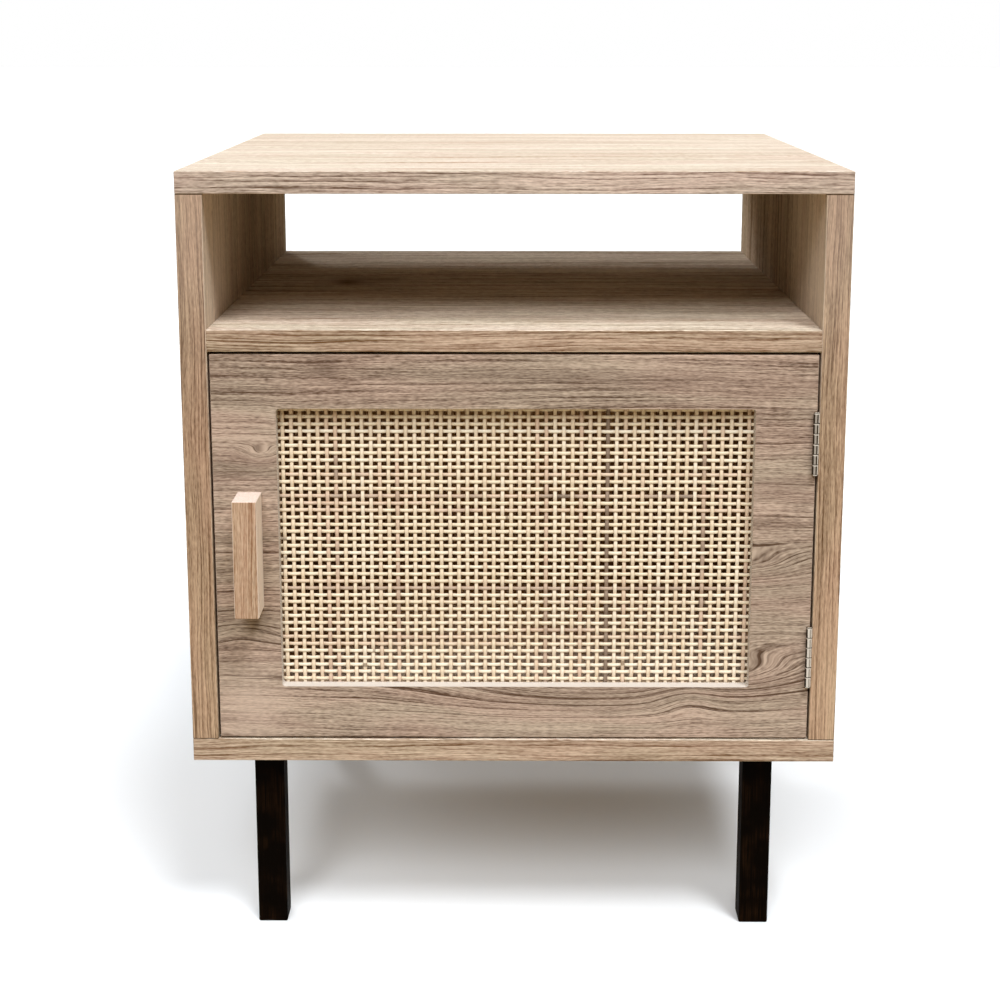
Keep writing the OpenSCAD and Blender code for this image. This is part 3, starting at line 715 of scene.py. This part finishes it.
def cut_edge(colour):
    """Marks the cut edge of the door's window, which its beads frame."""
    def mark(nodes, place, facing):
        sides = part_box("left_bead")[1].x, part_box("right_bead")[0].x
        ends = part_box("bottom_bead")[1].z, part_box("top_bead")[0].z
        on_cut = nodes.below(nodes.distance(facing["Y"]), WIDE_FACE)
        for axis, (start, end) in (("X", sides), ("Z", ends)):
            middle, half = (start + end) / 2.0 * MILLIMETRES, (end - start) / 2.0 * MILLIMETRES
            inside = nodes.below(nodes.distance(place[axis], middle), half + CUT_HAIR)
            on_cut = nodes.times(on_cut, inside)
        yield on_cut, colour
    return mark


def metal(name, colour, roughness, brush):
    """Plated metal with fine brush marks, finer as brush grows."""
    material, nodes, place, _ = new_material(name)
    brushing = Layer(brush, brush, brush * BRUSH_STRETCH, BRUSH_DETAIL)
    marks = nodes.noise(brushing, *place.values())
    stain = nodes.noise(METAL_STAIN, *place.values())
    stained = nodes.tint(stain, deepened(colour, METAL_STAIN_DEPTH), colour)
    brushed = nodes.plus(roughness, nodes.swing(marks, BRUSH_REACH))
    coat(nodes, marks, METAL_BUMP, Base_Color=stained, Roughness=brushed, Metallic=1.0)
    return material


def hinge_plating_and_painted_sheen(name, fittings, low, pitch, painted_left_reflection, painted_front_reflection):
    """Nickel plating of a hinge, with dark joints between its knuckles, and painted light down its
    barrel: by the way each face turns, painted shade at its left, painted reflections over its front
    and a painted highlight at its right, and a painted highlight on the lip of each knuckle. Low is
    the hinge's lower end and pitch the height of a knuckle."""
    material, nodes, place, facing = new_material(name)
    # Painted light: the barrel's colour is picked by the way each face turns
    around = nodes.plus(nodes.times(facing["X"], 0.5), 0.5)
    tones = fittings.dark_joint_and_shade, painted_left_reflection, painted_left_reflection, painted_front_reflection, painted_front_reflection, fittings.nickel
    curved = nodes.below(nodes.distance(facing["Z"]), WIDE_FACE)
    colour = nodes.tint(curved, fittings.nickel, nodes.ramp(around, BARREL_PAINTED_LIGHT_STOPS, tones))
    knuckle = nodes.math("FRACT", nodes.over(nodes.minus(place["Z"], low), pitch))
    # Painted highlight on the lip of each knuckle
    colour = nodes.tint(nodes.above(knuckle, KNUCKLE_HIGHLIGHT), colour, fittings.nickel)
    joint = nodes.above(nodes.distance(knuckle, 0.5), KNUCKLE_JOINT)
    colour = nodes.tint(joint, colour, fittings.dark_joint_and_shade)
    coat(nodes, Base_Color=colour, Roughness=HINGE_ROUGHNESS, Metallic=1.0)
    return material


def matt(name, colour, roughness, specular):
    """Moulded or sintered material with a fine uneven skin."""
    material, nodes, place, _ = new_material(name)
    skin = nodes.noise(MATT_SKIN, *place.values())
    uneven = nodes.tint(skin, deepened(colour, MATT_SKIN_DEPTH), colour)
    rough = nodes.plus(roughness, nodes.swing(skin, MATT_SKIN.reach))
    coat(nodes, skin, MATT_BUMP, Base_Color=uneven, Roughness=rough, Specular_IOR_Level=specular)
    return material


def lacquer(name, legs):
    """Black satin lacquer over wood, with a trace of the grain and brown where it is thin."""
    material, nodes, place, _ = new_material(name)
    grain = nodes.noise(LACQUER_GRAIN, *place.values())
    thin = nodes.slope(nodes.noise(LACQUER_WEAR, *place.values()), *WEAR_LIMITS)
    worn = nodes.times(thin, nodes.slope(grain, *WEAR_GRAIN_LIMITS))
    colour = nodes.tint(worn, legs.lacquer, legs.worn)
    rough = nodes.plus(LACQUER_ROUGHNESS, nodes.swing(grain, LACQUER_GRAIN.reach))
    fixed = {"Specular_IOR_Level": LACQUER_SPECULAR}
    coat(nodes, grain, LACQUER_BUMP, Base_Color=colour, Roughness=rough, **fixed)
    return material


def own_value(nodes, name):
    """A value that a piece's mesh carries under a name."""
    return nodes.add("ShaderNodeAttribute", {"attribute_name": name}).outputs["Fac"]


def cane_finish(name, weave, run, row, cast, lanes, specks=()):
    """Split cane: every strand has a tone of its own, which drifts along it, with streaks and knots.
    Run and row name the axes along a strand and across it. Lanes are the few darker strands, placed
    by their numbers, and specks the dark splinters."""
    material, nodes, place, facing = new_material(name)
    plus, times, slope = nodes.plus, nodes.times, nodes.slope
    strand = own_value(nodes, "strand")
    along = place[run]

    shade = plus(times(own_value(nodes, "tone"), STRAND_TONE), STRAND_BASE)
    shade = plus(shade, nodes.waver(CANE_DRIFT, along, strand))
    for lane in lanes:
        here = nodes.math("COMPARE", strand, float(lane.place), 0.5)
        begun = slope(along, lane.start - LANE_FADE, lane.start + LANE_FADE)
        ended = slope(along, lane.end - LANE_FADE, lane.end + LANE_FADE)
        reach = times(begun, nodes.rest(ended))
        shade = times(shade, nodes.rest(times(times(here, reach), lane.strength)))
    tones = weave.shade, weave.blush, weave.cream, weave.cream, weave.pale
    colour = nodes.ramp(shade, CANE_STOPS, tones)
    streak = nodes.noise(CANE_STREAK, along, place[row], strand)
    streaked = times(slope(streak, *STREAK_LIMITS), STREAK_STRENGTH)
    colour = nodes.tint(streaked, colour, weave.streak, "MULTIPLY")
    # Painted shade where the strand sinks under a crossing strand
    dip_shade = times(nodes.rest(slope(own_value(nodes, "rise"), *DIP_SHADE_LIMITS)), DIP_SHADE_STRENGTH)
    colour = nodes.tint(dip_shade, colour, weave.dip_shade, "MULTIPLY")
    colour = nodes.tint(1.0, colour, cast, "MULTIPLY")
    # Painted shade along the strand's sides, where its face turns away from the front
    rim_shade = nodes.rest(slope(nodes.distance(facing["Y"]), *RIM_SHADE_LIMITS))
    colour = nodes.tint(times(rim_shade, RIM_SHADE_STRENGTH), colour, weave.rim_shade, "MULTIPLY")
    knot = slope(nodes.noise(CANE_KNOT, along, strand), *CANE_KNOT_LIMITS)
    colour = nodes.tint(times(knot, CANE_KNOT_STRENGTH), colour, weave.knot)
    for speck in specks:
        dark = nodes.hump(place[run], place[row], speck)
        colour = nodes.tint(times(dark, speck.strength), colour, weave.speck)
    rough = plus(CANE_ROUGHNESS, nodes.swing(streak, CANE_STREAK.reach))
    coat(nodes, streak, CANE_BUMP, Base_Color=colour, Roughness=rough, Specular_IOR_Level=CANE_SPECULAR)
    return material


def finish_nodes(material, *names):
    """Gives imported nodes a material."""
    for name in names:
        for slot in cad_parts[name].material_slots:
            slot.material = material


def add_piece(name, mesh, body, slot, *nodes):
    """Puts a finished mesh on a body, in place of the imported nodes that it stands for."""
    piece = bpy.data.objects.new(name, mesh)
    bpy.context.scene.collection.objects.link(piece)
    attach(piece, body)
    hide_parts(*nodes)
    return piece


def rounded_block(name, low, high, rounding, material):
    """A block between two corners, with every edge rounded."""
    shape = bmesh.new()
    bmesh.ops.create_cube(shape, size=1.0)
    middle, size = (low + high) / 2.0, high - low
    fitted = Matrix.Translation(middle) @ Matrix.Diagonal((*size, 1.0))
    bmesh.ops.transform(shape, matrix=fitted, verts=shape.verts)
    corners = shape.edges[:] + shape.verts[:]
    bmesh.ops.bevel(
        shape, geom=corners, offset=rounding, segments=BEVEL_STEPS, profile=0.5, affect="EDGES"
    )
    bmesh.ops.recalc_face_normals(shape, faces=shape.faces)
    for face in shape.faces:
        face.smooth = True
    mesh = bpy.data.meshes.new(name)
    shape.to_mesh(mesh)
    shape.free()
    keep_faces_flat(mesh)
    mesh.materials.append(material)
    return mesh


def keep_faces_flat(mesh):
    """Weighted normals, so that the wide faces stay flat and only the rounding is shaded round."""
    holder = bpy.data.objects.new("normals", mesh)
    bpy.context.scene.collection.objects.link(holder)
    holder.modifiers.new("flat", "WEIGHTED_NORMAL").keep_sharp = True
    graph = bpy.context.evaluated_depsgraph_get()
    weighted = bpy.data.meshes.new_from_object(holder.evaluated_get(graph), depsgraph=graph)
    normals = [tuple(corner.vector) for corner in weighted.corner_normals]
    mesh.normals_split_custom_set(normals)
    bpy.data.objects.remove(holder)
    bpy.data.meshes.remove(weighted)


def stored(nodes, geometry, name, value, domain):
    """The geometry with a value kept on it under a name, for the shader to read."""
    kind = {"data_type": "FLOAT", "domain": domain}
    store = nodes.add("GeometryNodeStoreNamedAttribute", kind, Geometry=geometry, Name=name, Value=value)
    return store.outputs[0]


def strand_tree():
    """Geometry Nodes tree that lays one set of parallel cane strands, which rise and dip over
    the strands that cross them. Strands run along X, side by side along Y, and lift along Z."""
    tree = bpy.data.node_groups.new("cane_strands", "GeometryNodeTree")
    for kind, names in STRAND_INPUTS.items():
        for name in names:
            tree.interface.new_socket(name, in_out="INPUT", socket_type=kind)
    tree.interface.new_socket("Geometry", in_out="OUTPUT", socket_type="NodeSocketGeometry")
    nodes = Nodes(tree)
    add, times = nodes.add, nodes.times
    given = add("NodeGroupInput").outputs
    index = add("GeometryNodeInputIndex").outputs[0]

    side_by_side = nodes.point(0.0, given["Pitch"])
    row = add("GeometryNodeMeshLine", {"mode": "OFFSET"}, Count=given["Count"], Offset=side_by_side)
    line = add("GeometryNodeCurvePrimitiveLine", End=nodes.point(given["Length"], 0.0))
    line = add("GeometryNodeResampleCurve", Curve=line.outputs[0], Count=given["Steps"])
    laid = add("GeometryNodeInstanceOnPoints", Points=row.outputs[0], Instance=line.outputs[0])
    own_tone = add("FunctionNodeRandomValue", {"data_type": "FLOAT"}, ID=index, Seed=given["Seed"])
    numbered = stored(nodes, laid.outputs[0], "strand", index, "INSTANCE")
    toned = stored(nodes, numbered, "tone", own_tone.outputs["Value"], "INSTANCE")
    curves = add("GeometryNodeRealizeInstances", Geometry=toned).outputs[0]

    number = {"data_type": "FLOAT"}
    strand = add("GeometryNodeInputNamedAttribute", number, Name="strand").outputs[0]
    along = nodes.parts(add("GeometryNodeInputPosition").outputs[0])["X"]
    parity = nodes.rest(times(nodes.math("MODULO", strand, 2.0), 2.0))
    phase = nodes.over(nodes.minus(along, given["Crossing Start"]), given["Crossing Pitch"])
    wave = nodes.math("COSINE", times(phase, math.pi))
    rise = times(times(wave, parity), given["Lift"])
    height = nodes.over(rise, nodes.distance(given["Lift"]))
    risen = stored(nodes, curves, "rise", height, "POINT")
    stray = times(nodes.waver(STRAND_STRAY, along, strand), given["Wander"])
    offset = nodes.point(0.0, stray, rise)
    moved = add("GeometryNodeSetPosition", Geometry=risen, Offset=offset)
    upright = add("GeometryNodeSetCurveNormal", {"mode": "Z_UP"}, Curve=moved.outputs[0])

    circle = {"mode": "RADIUS"}
    section = add("GeometryNodeCurvePrimitiveCircle", circle, Resolution=STRAND_SIDES, Radius=0.5)
    flatness = nodes.point(given["Width"], given["Thickness"], 1.0)
    flat = add("GeometryNodeTransform", Geometry=section.outputs[0], Scale=flatness)
    swell = nodes.plus(1.0, nodes.waver(STRAND_SWELL, along, strand))
    tube = add("GeometryNodeCurveToMesh", Curve=upright.outputs[0], Profile_Curve=flat.outputs[0])
    nodes.fill(tube, Scale=swell, Fill_Caps=True)
    placed = add("GeometryNodeTransform", Geometry=tube.outputs[0])
    nodes.fill(placed, Translation=given["Place"], Rotation=given["Rotation"])
    smooth = add("GeometryNodeSetShadeSmooth", Geometry=placed.outputs[0])
    finished = add("GeometryNodeSetMaterial", Geometry=smooth.outputs[0], Material=given["Finish"])
    add("NodeGroupOutput", Geometry=finished.outputs[0])
    return tree


def grow(name, tree, values):
    """The plain mesh that a Geometry Nodes tree makes from named values."""
    holder = bpy.data.objects.new(name + "_holder", bpy.data.meshes.new(name + "_holder"))
    bpy.context.scene.collection.objects.link(holder)
    modifier = holder.modifiers.new(name, "NODES")
    modifier.node_group = tree
    for item in tree.interface.items_tree:
        if item.item_type == "SOCKET" and item.in_out == "INPUT":
            modifier[item.identifier] = values[item.name]
    graph = bpy.context.evaluated_depsgraph_get()
    mesh = bpy.data.meshes.new_from_object(
        holder.evaluated_get(graph), preserve_all_data_layers=True, depsgraph=graph
    )
    mesh.name = name
    bpy.data.objects.remove(holder)
    return mesh


class SIDETABLE_OT_set_stage(Operator):
    """Sets up the camera, lamps, sky and floor"""

    bl_idname = "side_table.set_stage"
    bl_label = "Set Stage"

    def execute(self, context):
        studio = context.scene.side_table_studio
        context.scene.view_settings.view_transform = "Standard"
        self.add_camera(context, studio)
        for name in ("key", "fill", "back", "side"):
            self.add_sun(context, studio, name)
        self.add_glow(context, studio)
        self.set_sky(context, studio)
        self.lay_floor(context, studio)
        return {"FINISHED"}

    def add_camera(self, context, studio):
        """The camera at the height and distance of the photograph."""
        data = bpy.data.cameras.new("camera")
        data.lens = studio.lens
        data.shift_y = studio.shift
        camera = bpy.data.objects.new("camera", data)
        camera.location = studio.place
        camera.rotation_euler = (math.pi / 2.0 - studio.tilt, 0.0, studio.swing)
        context.scene.collection.objects.link(camera)
        context.scene.camera = camera

    def add_sun(self, context, studio, name):
        """A soft lamp whose light has the same strength everywhere."""
        level, height, side, size = (
            getattr(studio, name + "_" + part) for part in ("level", "height", "side", "size")
        )
        data = bpy.data.lights.new(name, "SUN")
        data.energy = level * math.pi
        data.angle = size
        lamp = bpy.data.objects.new(name, data)
        lamp.rotation_euler = (math.pi / 2.0 - height, 0.0, side)
        context.scene.collection.objects.link(lamp)

    def add_glow(self, context, studio):
        """The dim warm light inside the cupboard, which shows between the strands of the cane."""
        data = bpy.data.lights.new("glow", "POINT")
        data.energy = studio.glow_power
        data.color = studio.glow_tone
        data.shadow_soft_size = studio.glow_size
        lamp = bpy.data.objects.new("glow", data)
        low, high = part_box("bottom_panel")[1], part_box("niche_shelf")[0]
        lamp.location = (low + high) / 2.0
        lamp.location.x = 0.0
        lamp.visible_camera = False
        context.scene.collection.objects.link(lamp)

    def set_sky(self, context, studio):
        """A white sky where it is seen or mirrored, and as a light one that brightens upwards."""
        world = bpy.data.worlds.new("studio")
        world.use_nodes = True
        context.scene.world = world
        nodes = Nodes(world.node_tree)
        background = world.node_tree.nodes["Background"]
        rise = nodes.parts(nodes.add("ShaderNodeTexCoord").outputs["Generated"])["Z"]
        rise = nodes.larger(rise, 0.0)
        tint = nodes.tint(nodes.slope(rise, 0.0, studio.sky_blend), studio.sky_tone, WHITE)
        light = nodes.plus(studio.sky_low, nodes.times(rise, studio.sky_rise))
        in_sight = seen(nodes)
        nodes.fill(background, Color=nodes.tint(in_sight, tint, WHITE))
        nodes.fill(background, Strength=nodes.mix(in_sight, light, 1.0))

    def lay_floor(self, context, studio):
        """A wide pale floor that ends in white and keeps the table's shadow."""
        reach = studio.floor_reach
        mesh = bpy.data.meshes.new("floor")
        turns = ((-1, -1), (1, -1), (1, 1), (-1, 1))
        mesh.from_pydata([(x * reach, y * reach, 0.0) for x, y in turns], [], [(0, 1, 2, 3)])
        floor = bpy.data.objects.new("floor", mesh)
        context.scene.collection.objects.link(floor)
        material = bpy.data.materials.new("floor")
        material.use_nodes = True
        tree = material.node_tree
        tree.nodes.clear()
        nodes = Nodes(tree)
        bounce = nodes.add("ShaderNodeBsdfDiffuse", Color=tuple(studio.floor_bounce))
        shown = nodes.add("ShaderNodeBsdfDiffuse", Color=tuple(studio.floor_white))
        lift = nodes.add("ShaderNodeEmission", Strength=studio.floor_lift)
        lit = nodes.add("ShaderNodeAddShader")
        nodes.feed(lit.inputs[0], shown.outputs[0])
        nodes.feed(lit.inputs[1], lift.outputs[0])
        either = nodes.add("ShaderNodeMixShader", Fac=seen(nodes))
        nodes.feed(either.inputs[1], bounce.outputs[0])
        nodes.feed(either.inputs[2], lit.outputs[0])
        nodes.add("ShaderNodeOutputMaterial", Surface=either.outputs[0])
        mesh.materials.append(material)


def seen(nodes):
    """1 for what the camera sees, also in a mirror or through glass."""
    path = nodes.add("ShaderNodeLightPath").outputs
    mirrored = nodes.larger(path["Is Glossy Ray"], path["Is Transmission Ray"])
    return nodes.larger(path["Is Camera Ray"], mirrored)


class SIDETABLE_OT_veneer_cabinet(Operator):
    """Finishes the top, sides, shelf, bottom and back of the cabinet"""

    bl_idname = "side_table.veneer_cabinet"
    bl_label = "Veneer Cabinet"

    def execute(self, context):
        scene = context.scene
        top, sides, shelves = scene.side_table_top, scene.side_table_side, scene.side_table_shelf
        # Painted light on the inner faces at the front of the niche
        left_niche_light = stains_and_painted_light("Z", "Y", NICHE_PAINTED_LIGHT, sides.inside, 1.0)
        right_niche_light = stains_and_painted_light("Z", "Y", NICHE_PAINTED_LIGHT, sides.inside, -1.0)
        left_strip = stains_and_painted_light("Z", "X", LEFT_PATCHES, sides.strip_dark, -1.0)
        strips = (
            stains_and_painted_light("Z", "X", LOWER_PATCHES, sides.lower, -1.0),
            stains_and_painted_light("Z", "X", UPPER_PATCHES, sides.upper, -1.0),
            seam_line(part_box("top_panel")[0].z, deepened(sides.dark, PORE_DEPTH)),
            seam_line(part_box("bottom_panel")[1].z, deepened(sides.dark, PORE_DEPTH)),
        )
        left_marks, right_marks = (left_niche_light, left_strip, *strips), (right_niche_light, *strips)
        # Painted shade at the rear of the top
        top_shade_marks = (stains_and_painted_light("X", "Y", TOP_REAR_SHADE, top.dark, 1.0),)
        shelf_marks = (stains_and_painted_light("X", "Y", SHELF_KNOTS, deepened(shelves.dark, KNOT_DEPTH), 1.0),)
        finishes = {
            "top_panel": wood("top_veneer", top, "Z", "X", seed=31.0, marks=top_shade_marks),
            "left_side_panel": wood("left_side_veneer", sides, "X", "Z", seed=57.0, marks=left_marks),
            "right_side_panel": wood("right_side_veneer", sides, "X", "Z", seed=83.0, marks=right_marks),
            "niche_shelf": wood("shelf_veneer", shelves, "Z", "X", seed=12.0, marks=shelf_marks),
            "bottom_panel": wood("bottom_veneer", shelves, "Z", "X", seed=44.0),
            "back_panel": wood("back_veneer", shelves, "Y", "Z", seed=71.0),
        }
        for name, finish in finishes.items():
            finish_nodes(finish, name)
        return {"FINISHED"}


class SIDETABLE_OT_veneer_door(Operator):
    """Finishes the door, the pale edge of its window and the beads behind it"""

    bl_idname = "side_table.veneer_door"
    bl_label = "Veneer Door"

    def execute(self, context):
        look, plain = context.scene.side_table_door, context.scene.side_table_plain
        marks = (
            stains_and_painted_light("X", "Z", DOOR_PALE_PATCHES, look.pale, -1.0),
            stains_and_painted_light("X", "Z", DOOR_DARK_PATCHES, look.dark, -1.0),
            stains_and_painted_light("X", "Z", DOOR_KNOTS, deepened(look.dark, KNOT_DEPTH), -1.0),
            cut_edge(look.cut),
        )
        door = wood("door_veneer", look, "Y", "X", seed=5.0, swells=DOOR_SWELLS, marks=marks)
        level = wood("level_bead_wood", plain, "Y", "X", seed=21.0, solid=True)
        upright = wood("upright_bead_wood", plain, "Y", "Z", seed=23.0, solid=True)
        finish_nodes(door, "door_panel")
        finish_nodes(level, "top_bead", "bottom_bead")
        finish_nodes(upright, "left_bead", "right_bead")
        return {"FINISHED"}


def marked_strands(lanes, first, pitch):
    """The same lanes, with the number of the nearest strand for a place."""
    return [lane._replace(place=round((lane.place / MILLIMETRES - first) / pitch)) for lane in lanes]


class SIDETABLE_OT_weave_cane(Operator):
    """Weaves the cane panel from upright and level strands"""

    bl_idname = "side_table.weave_cane"
    bl_label = "Weave Cane"

    def execute(self, context):
        weave = context.scene.side_table_cane
        low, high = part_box("cane_panel")
        middle, size = (low + high) / 2.0, high - low
        uprights = int(size.x / weave.pitch_across)
        levels = int(size.z / weave.pitch_down)
        first_upright = middle.x - (uprights - 1) / 2.0 * weave.pitch_across
        first_level = middle.z - (levels - 1) / 2.0 * weave.pitch_down
        last_upright = first_upright + (uprights - 1) * weave.pitch_across
        level_marks = marked_strands(DARK_LEVELS, first_level, weave.pitch_down)
        upright_marks = marked_strands(DARK_UPRIGHTS, last_upright, -weave.pitch_across)
        level_cane = cane_finish("level_cane", weave, "X", "Z", WHITE, level_marks)
        upright_cane = cane_finish(
            "upright_cane", weave, "Z", "X", weave.upright_cast, upright_marks, CANE_SPECKS
        )
        tree = strand_tree()
        shared = {"Thickness": weave.thickness, "Wander": weave.wander}
        # Upright strands are laid from right to left, so the sign of the first level lift depends
        # on how many there are
        first_sign = 1.0 if uprights % 2 == 0 else -1.0
        level = grow("cane_level_strands", tree, {
            **shared,
            "Count": levels,
            "Pitch": weave.pitch_down,
            "Length": size.x,
            "Steps": int(size.x / weave.pitch_across * STEPS_PER_CROSSING) + 1,
            "Crossing Start": first_upright - low.x,
            "Crossing Pitch": weave.pitch_across,
            "Lift": first_sign * weave.lift,
            "Width": weave.level_width,
            "Seed": weave.seed,
            "Place": (low.x, middle.y, first_level),
            "Rotation": Matrix.Rotation(math.pi / 2.0, 3, "X").to_euler(),
            "Finish": level_cane,
        })
        to_upright = Matrix(((0.0, -1.0, 0.0), (0.0, 0.0, -1.0), (1.0, 0.0, 0.0)))
        upright = grow("cane_upright_strands", tree, {
            **shared,
            "Count": uprights,
            "Pitch": weave.pitch_across,
            "Length": size.z,
            "Steps": int(size.z / weave.pitch_down * STEPS_PER_CROSSING) + 1,
            "Crossing Start": first_level - low.z,
            "Crossing Pitch": weave.pitch_down,
            "Lift": weave.lift,
            "Width": weave.upright_width,
            "Seed": weave.seed + 1,
            "Place": (last_upright, middle.y, low.z),
            "Rotation": to_upright.to_euler(),
            "Finish": upright_cane,
        })
        add_piece("cane_level_strands", level, "door", "cane", "cane_panel")
        add_piece("cane_upright_strands", upright, "door", "cane", "cane_panel")
        return {"FINISHED"}


class SIDETABLE_OT_shape_pull(Operator):
    """Makes the door pull, with softly rounded edges and end grain"""

    bl_idname = "side_table.shape_pull"
    bl_label = "Shape Pull"

    def execute(self, context):
        look = context.scene.side_table_pull
        # Painted light on the two sides of the pull
        painted_light_flanks = faces_along("X", strength=0.86, colour=look.painted_light_flanks)
        ends = faces_along("Z", strength=0.88, colour=look.ends)
        finish = wood("pull_wood", look, "X", "Z", seed=37.0, marks=(painted_light_flanks, ends), solid=True)
        mesh = rounded_block("wooden_pull", *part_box("door_pull"), look.rounding, finish)
        add_piece("wooden_pull", mesh, "door", "pull_wood", "door_pull")
        return {"FINISHED"}


class SIDETABLE_OT_shape_legs(Operator):
    """Makes the four black legs, with softly rounded edges"""

    bl_idname = "side_table.shape_legs"
    bl_label = "Shape Legs"

    def execute(self, context):
        legs = context.scene.side_table_legs
        finish = lacquer("leg_black", legs)
        for name in ("front_left", "front_right", "rear_left", "rear_right"):
            piece = name + "_black_leg"
            mesh = rounded_block(piece, *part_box(name + "_leg"), legs.rounding, finish)
            add_piece(piece, mesh, "cabinet", "leg_black", name + "_leg")
        return {"FINISHED"}


class SIDETABLE_OT_finish_joinery(Operator):
    """Finishes the dowels, bolts, inserts and brads that hold the table together"""

    bl_idname = "side_table.finish_joinery"
    bl_label = "Finish Joinery"

    def execute(self, context):
        plain, fittings = context.scene.side_table_plain, context.scene.side_table_fittings
        standing = wood("dowel_wood", plain, "X", "Z", seed=61.0, solid=True)
        lying = wood("lying_dowel_wood", plain, "Z", "X", seed=63.0, solid=True)
        zinc = metal("zinc_steel", fittings.zinc, roughness=0.38, brush=1.6)
        finish_nodes(standing, "top_dowels", "base_dowels")
        finish_nodes(lying, "shelf_dowels")
        finish_nodes(zinc, "leg_bolts", "leg_inserts", "bead_brads")
        return {"FINISHED"}


class SIDETABLE_OT_plate_hinges(Operator):
    """Finishes the hinges, their pins and every nickel plated screw"""

    bl_idname = "side_table.plate_hinges"
    bl_label = "Plate Hinges"

    def execute(self, context):
        fittings = context.scene.side_table_fittings
        # Painted reflection tones down the front of each barrel, a different pair on each hinge
        tones = ("lower", fittings.nickel, fittings.painted_dim_reflection), ("upper", fittings.painted_dim_reflection, fittings.dark_joint_and_shade)
        for place, painted_left_reflection, painted_front_reflection in tones:
            low, high = (MILLIMETRES * corner.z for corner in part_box(place + "_hinge_cabinet_leaf"))
            pitch = (high - low) / KNUCKLES
            nickel = hinge_plating_and_painted_sheen(place + "_hinge_steel", fittings, low, pitch, painted_left_reflection, painted_front_reflection)
            finish_nodes(nickel, place + "_hinge_cabinet_leaf", place + "_hinge_door_leaf")
        pins = metal("pin_steel", fittings.nickel, roughness=0.28, brush=2.4)
        screws = metal("screw_steel", fittings.nickel, roughness=0.32, brush=1.2)
        finish_nodes(pins, "hinge_pins")
        finish_nodes(screws, "hinge_cabinet_screws", "hinge_door_screws", "pull_screws")
        finish_nodes(screws, "catch_screws", "strike_screw")
        return {"FINISHED"}


class SIDETABLE_OT_finish_catch(Operator):
    """Finishes the magnetic catch and its strike"""

    bl_idname = "side_table.finish_catch"
    bl_label = "Finish Catch"

    def execute(self, context):
        fittings = context.scene.side_table_fittings
        housing = matt("catch_plastic", fittings.plastic, roughness=0.5, specular=0.4)
        magnet = matt("magnet_ferrite", fittings.ferrite, roughness=0.6, specular=0.3)
        poles = metal("pole_steel", fittings.zinc, roughness=0.34, brush=2.0)
        finish_nodes(housing, "catch_housing")
        finish_nodes(magnet, "catch_magnet")
        finish_nodes(poles, "catch_poles", "catch_strike")
        return {"FINISHED"}


STEPS = (
    SIDETABLE_OT_set_stage,
    SIDETABLE_OT_veneer_cabinet,
    SIDETABLE_OT_veneer_door,
    SIDETABLE_OT_weave_cane,
    SIDETABLE_OT_shape_pull,
    SIDETABLE_OT_shape_legs,
    SIDETABLE_OT_finish_joinery,
    SIDETABLE_OT_plate_hinges,
    SIDETABLE_OT_finish_catch,
)


class SIDETABLE_PT_panel(Panel):
    """Lists the steps that finish the table"""

    bl_label = "Side Table"
    bl_idname = "SIDETABLE_PT_panel"
    bl_space_type = "VIEW_3D"
    bl_region_type = "UI"
    bl_category = "Side Table"

    def draw(self, context):
        for step in STEPS:
            self.layout.operator(step.bl_idname)


SETTINGS = {
    "side_table_top": TopVeneer,
    "side_table_side": SideVeneer,
    "side_table_shelf": ShelfVeneer,
    "side_table_door": DoorVeneer,
    "side_table_pull": PullWood,
    "side_table_plain": PlainWood,
    "side_table_cane": CaneWeave,
    "side_table_legs": Legs,
    "side_table_fittings": Fittings,
    "side_table_studio": Studio,
}


def register():
    """Registers settings, steps and panel."""
    for cls in (*SETTINGS.values(), *STEPS, SIDETABLE_PT_panel):
        bpy.utils.register_class(cls)
    for name, group in SETTINGS.items():
        setattr(bpy.types.Scene, name, PointerProperty(type=group))


def unregister():
    """Takes settings, steps and panel away again."""
    for name in SETTINGS:
        delattr(bpy.types.Scene, name)
    for cls in reversed((*SETTINGS.values(), *STEPS, SIDETABLE_PT_panel)):
        bpy.utils.unregister_class(cls)


def main():
    """Finishes the table step by step."""
    register()
    bpy.ops.side_table.set_stage()
    bpy.ops.side_table.veneer_cabinet()
    bpy.ops.side_table.veneer_door()
    bpy.ops.side_table.weave_cane()
    bpy.ops.side_table.shape_pull()
    bpy.ops.side_table.shape_legs()
    bpy.ops.side_table.finish_joinery()
    bpy.ops.side_table.plate_hinges()
    bpy.ops.side_table.finish_catch()


if __name__ == "__main__":
    main()
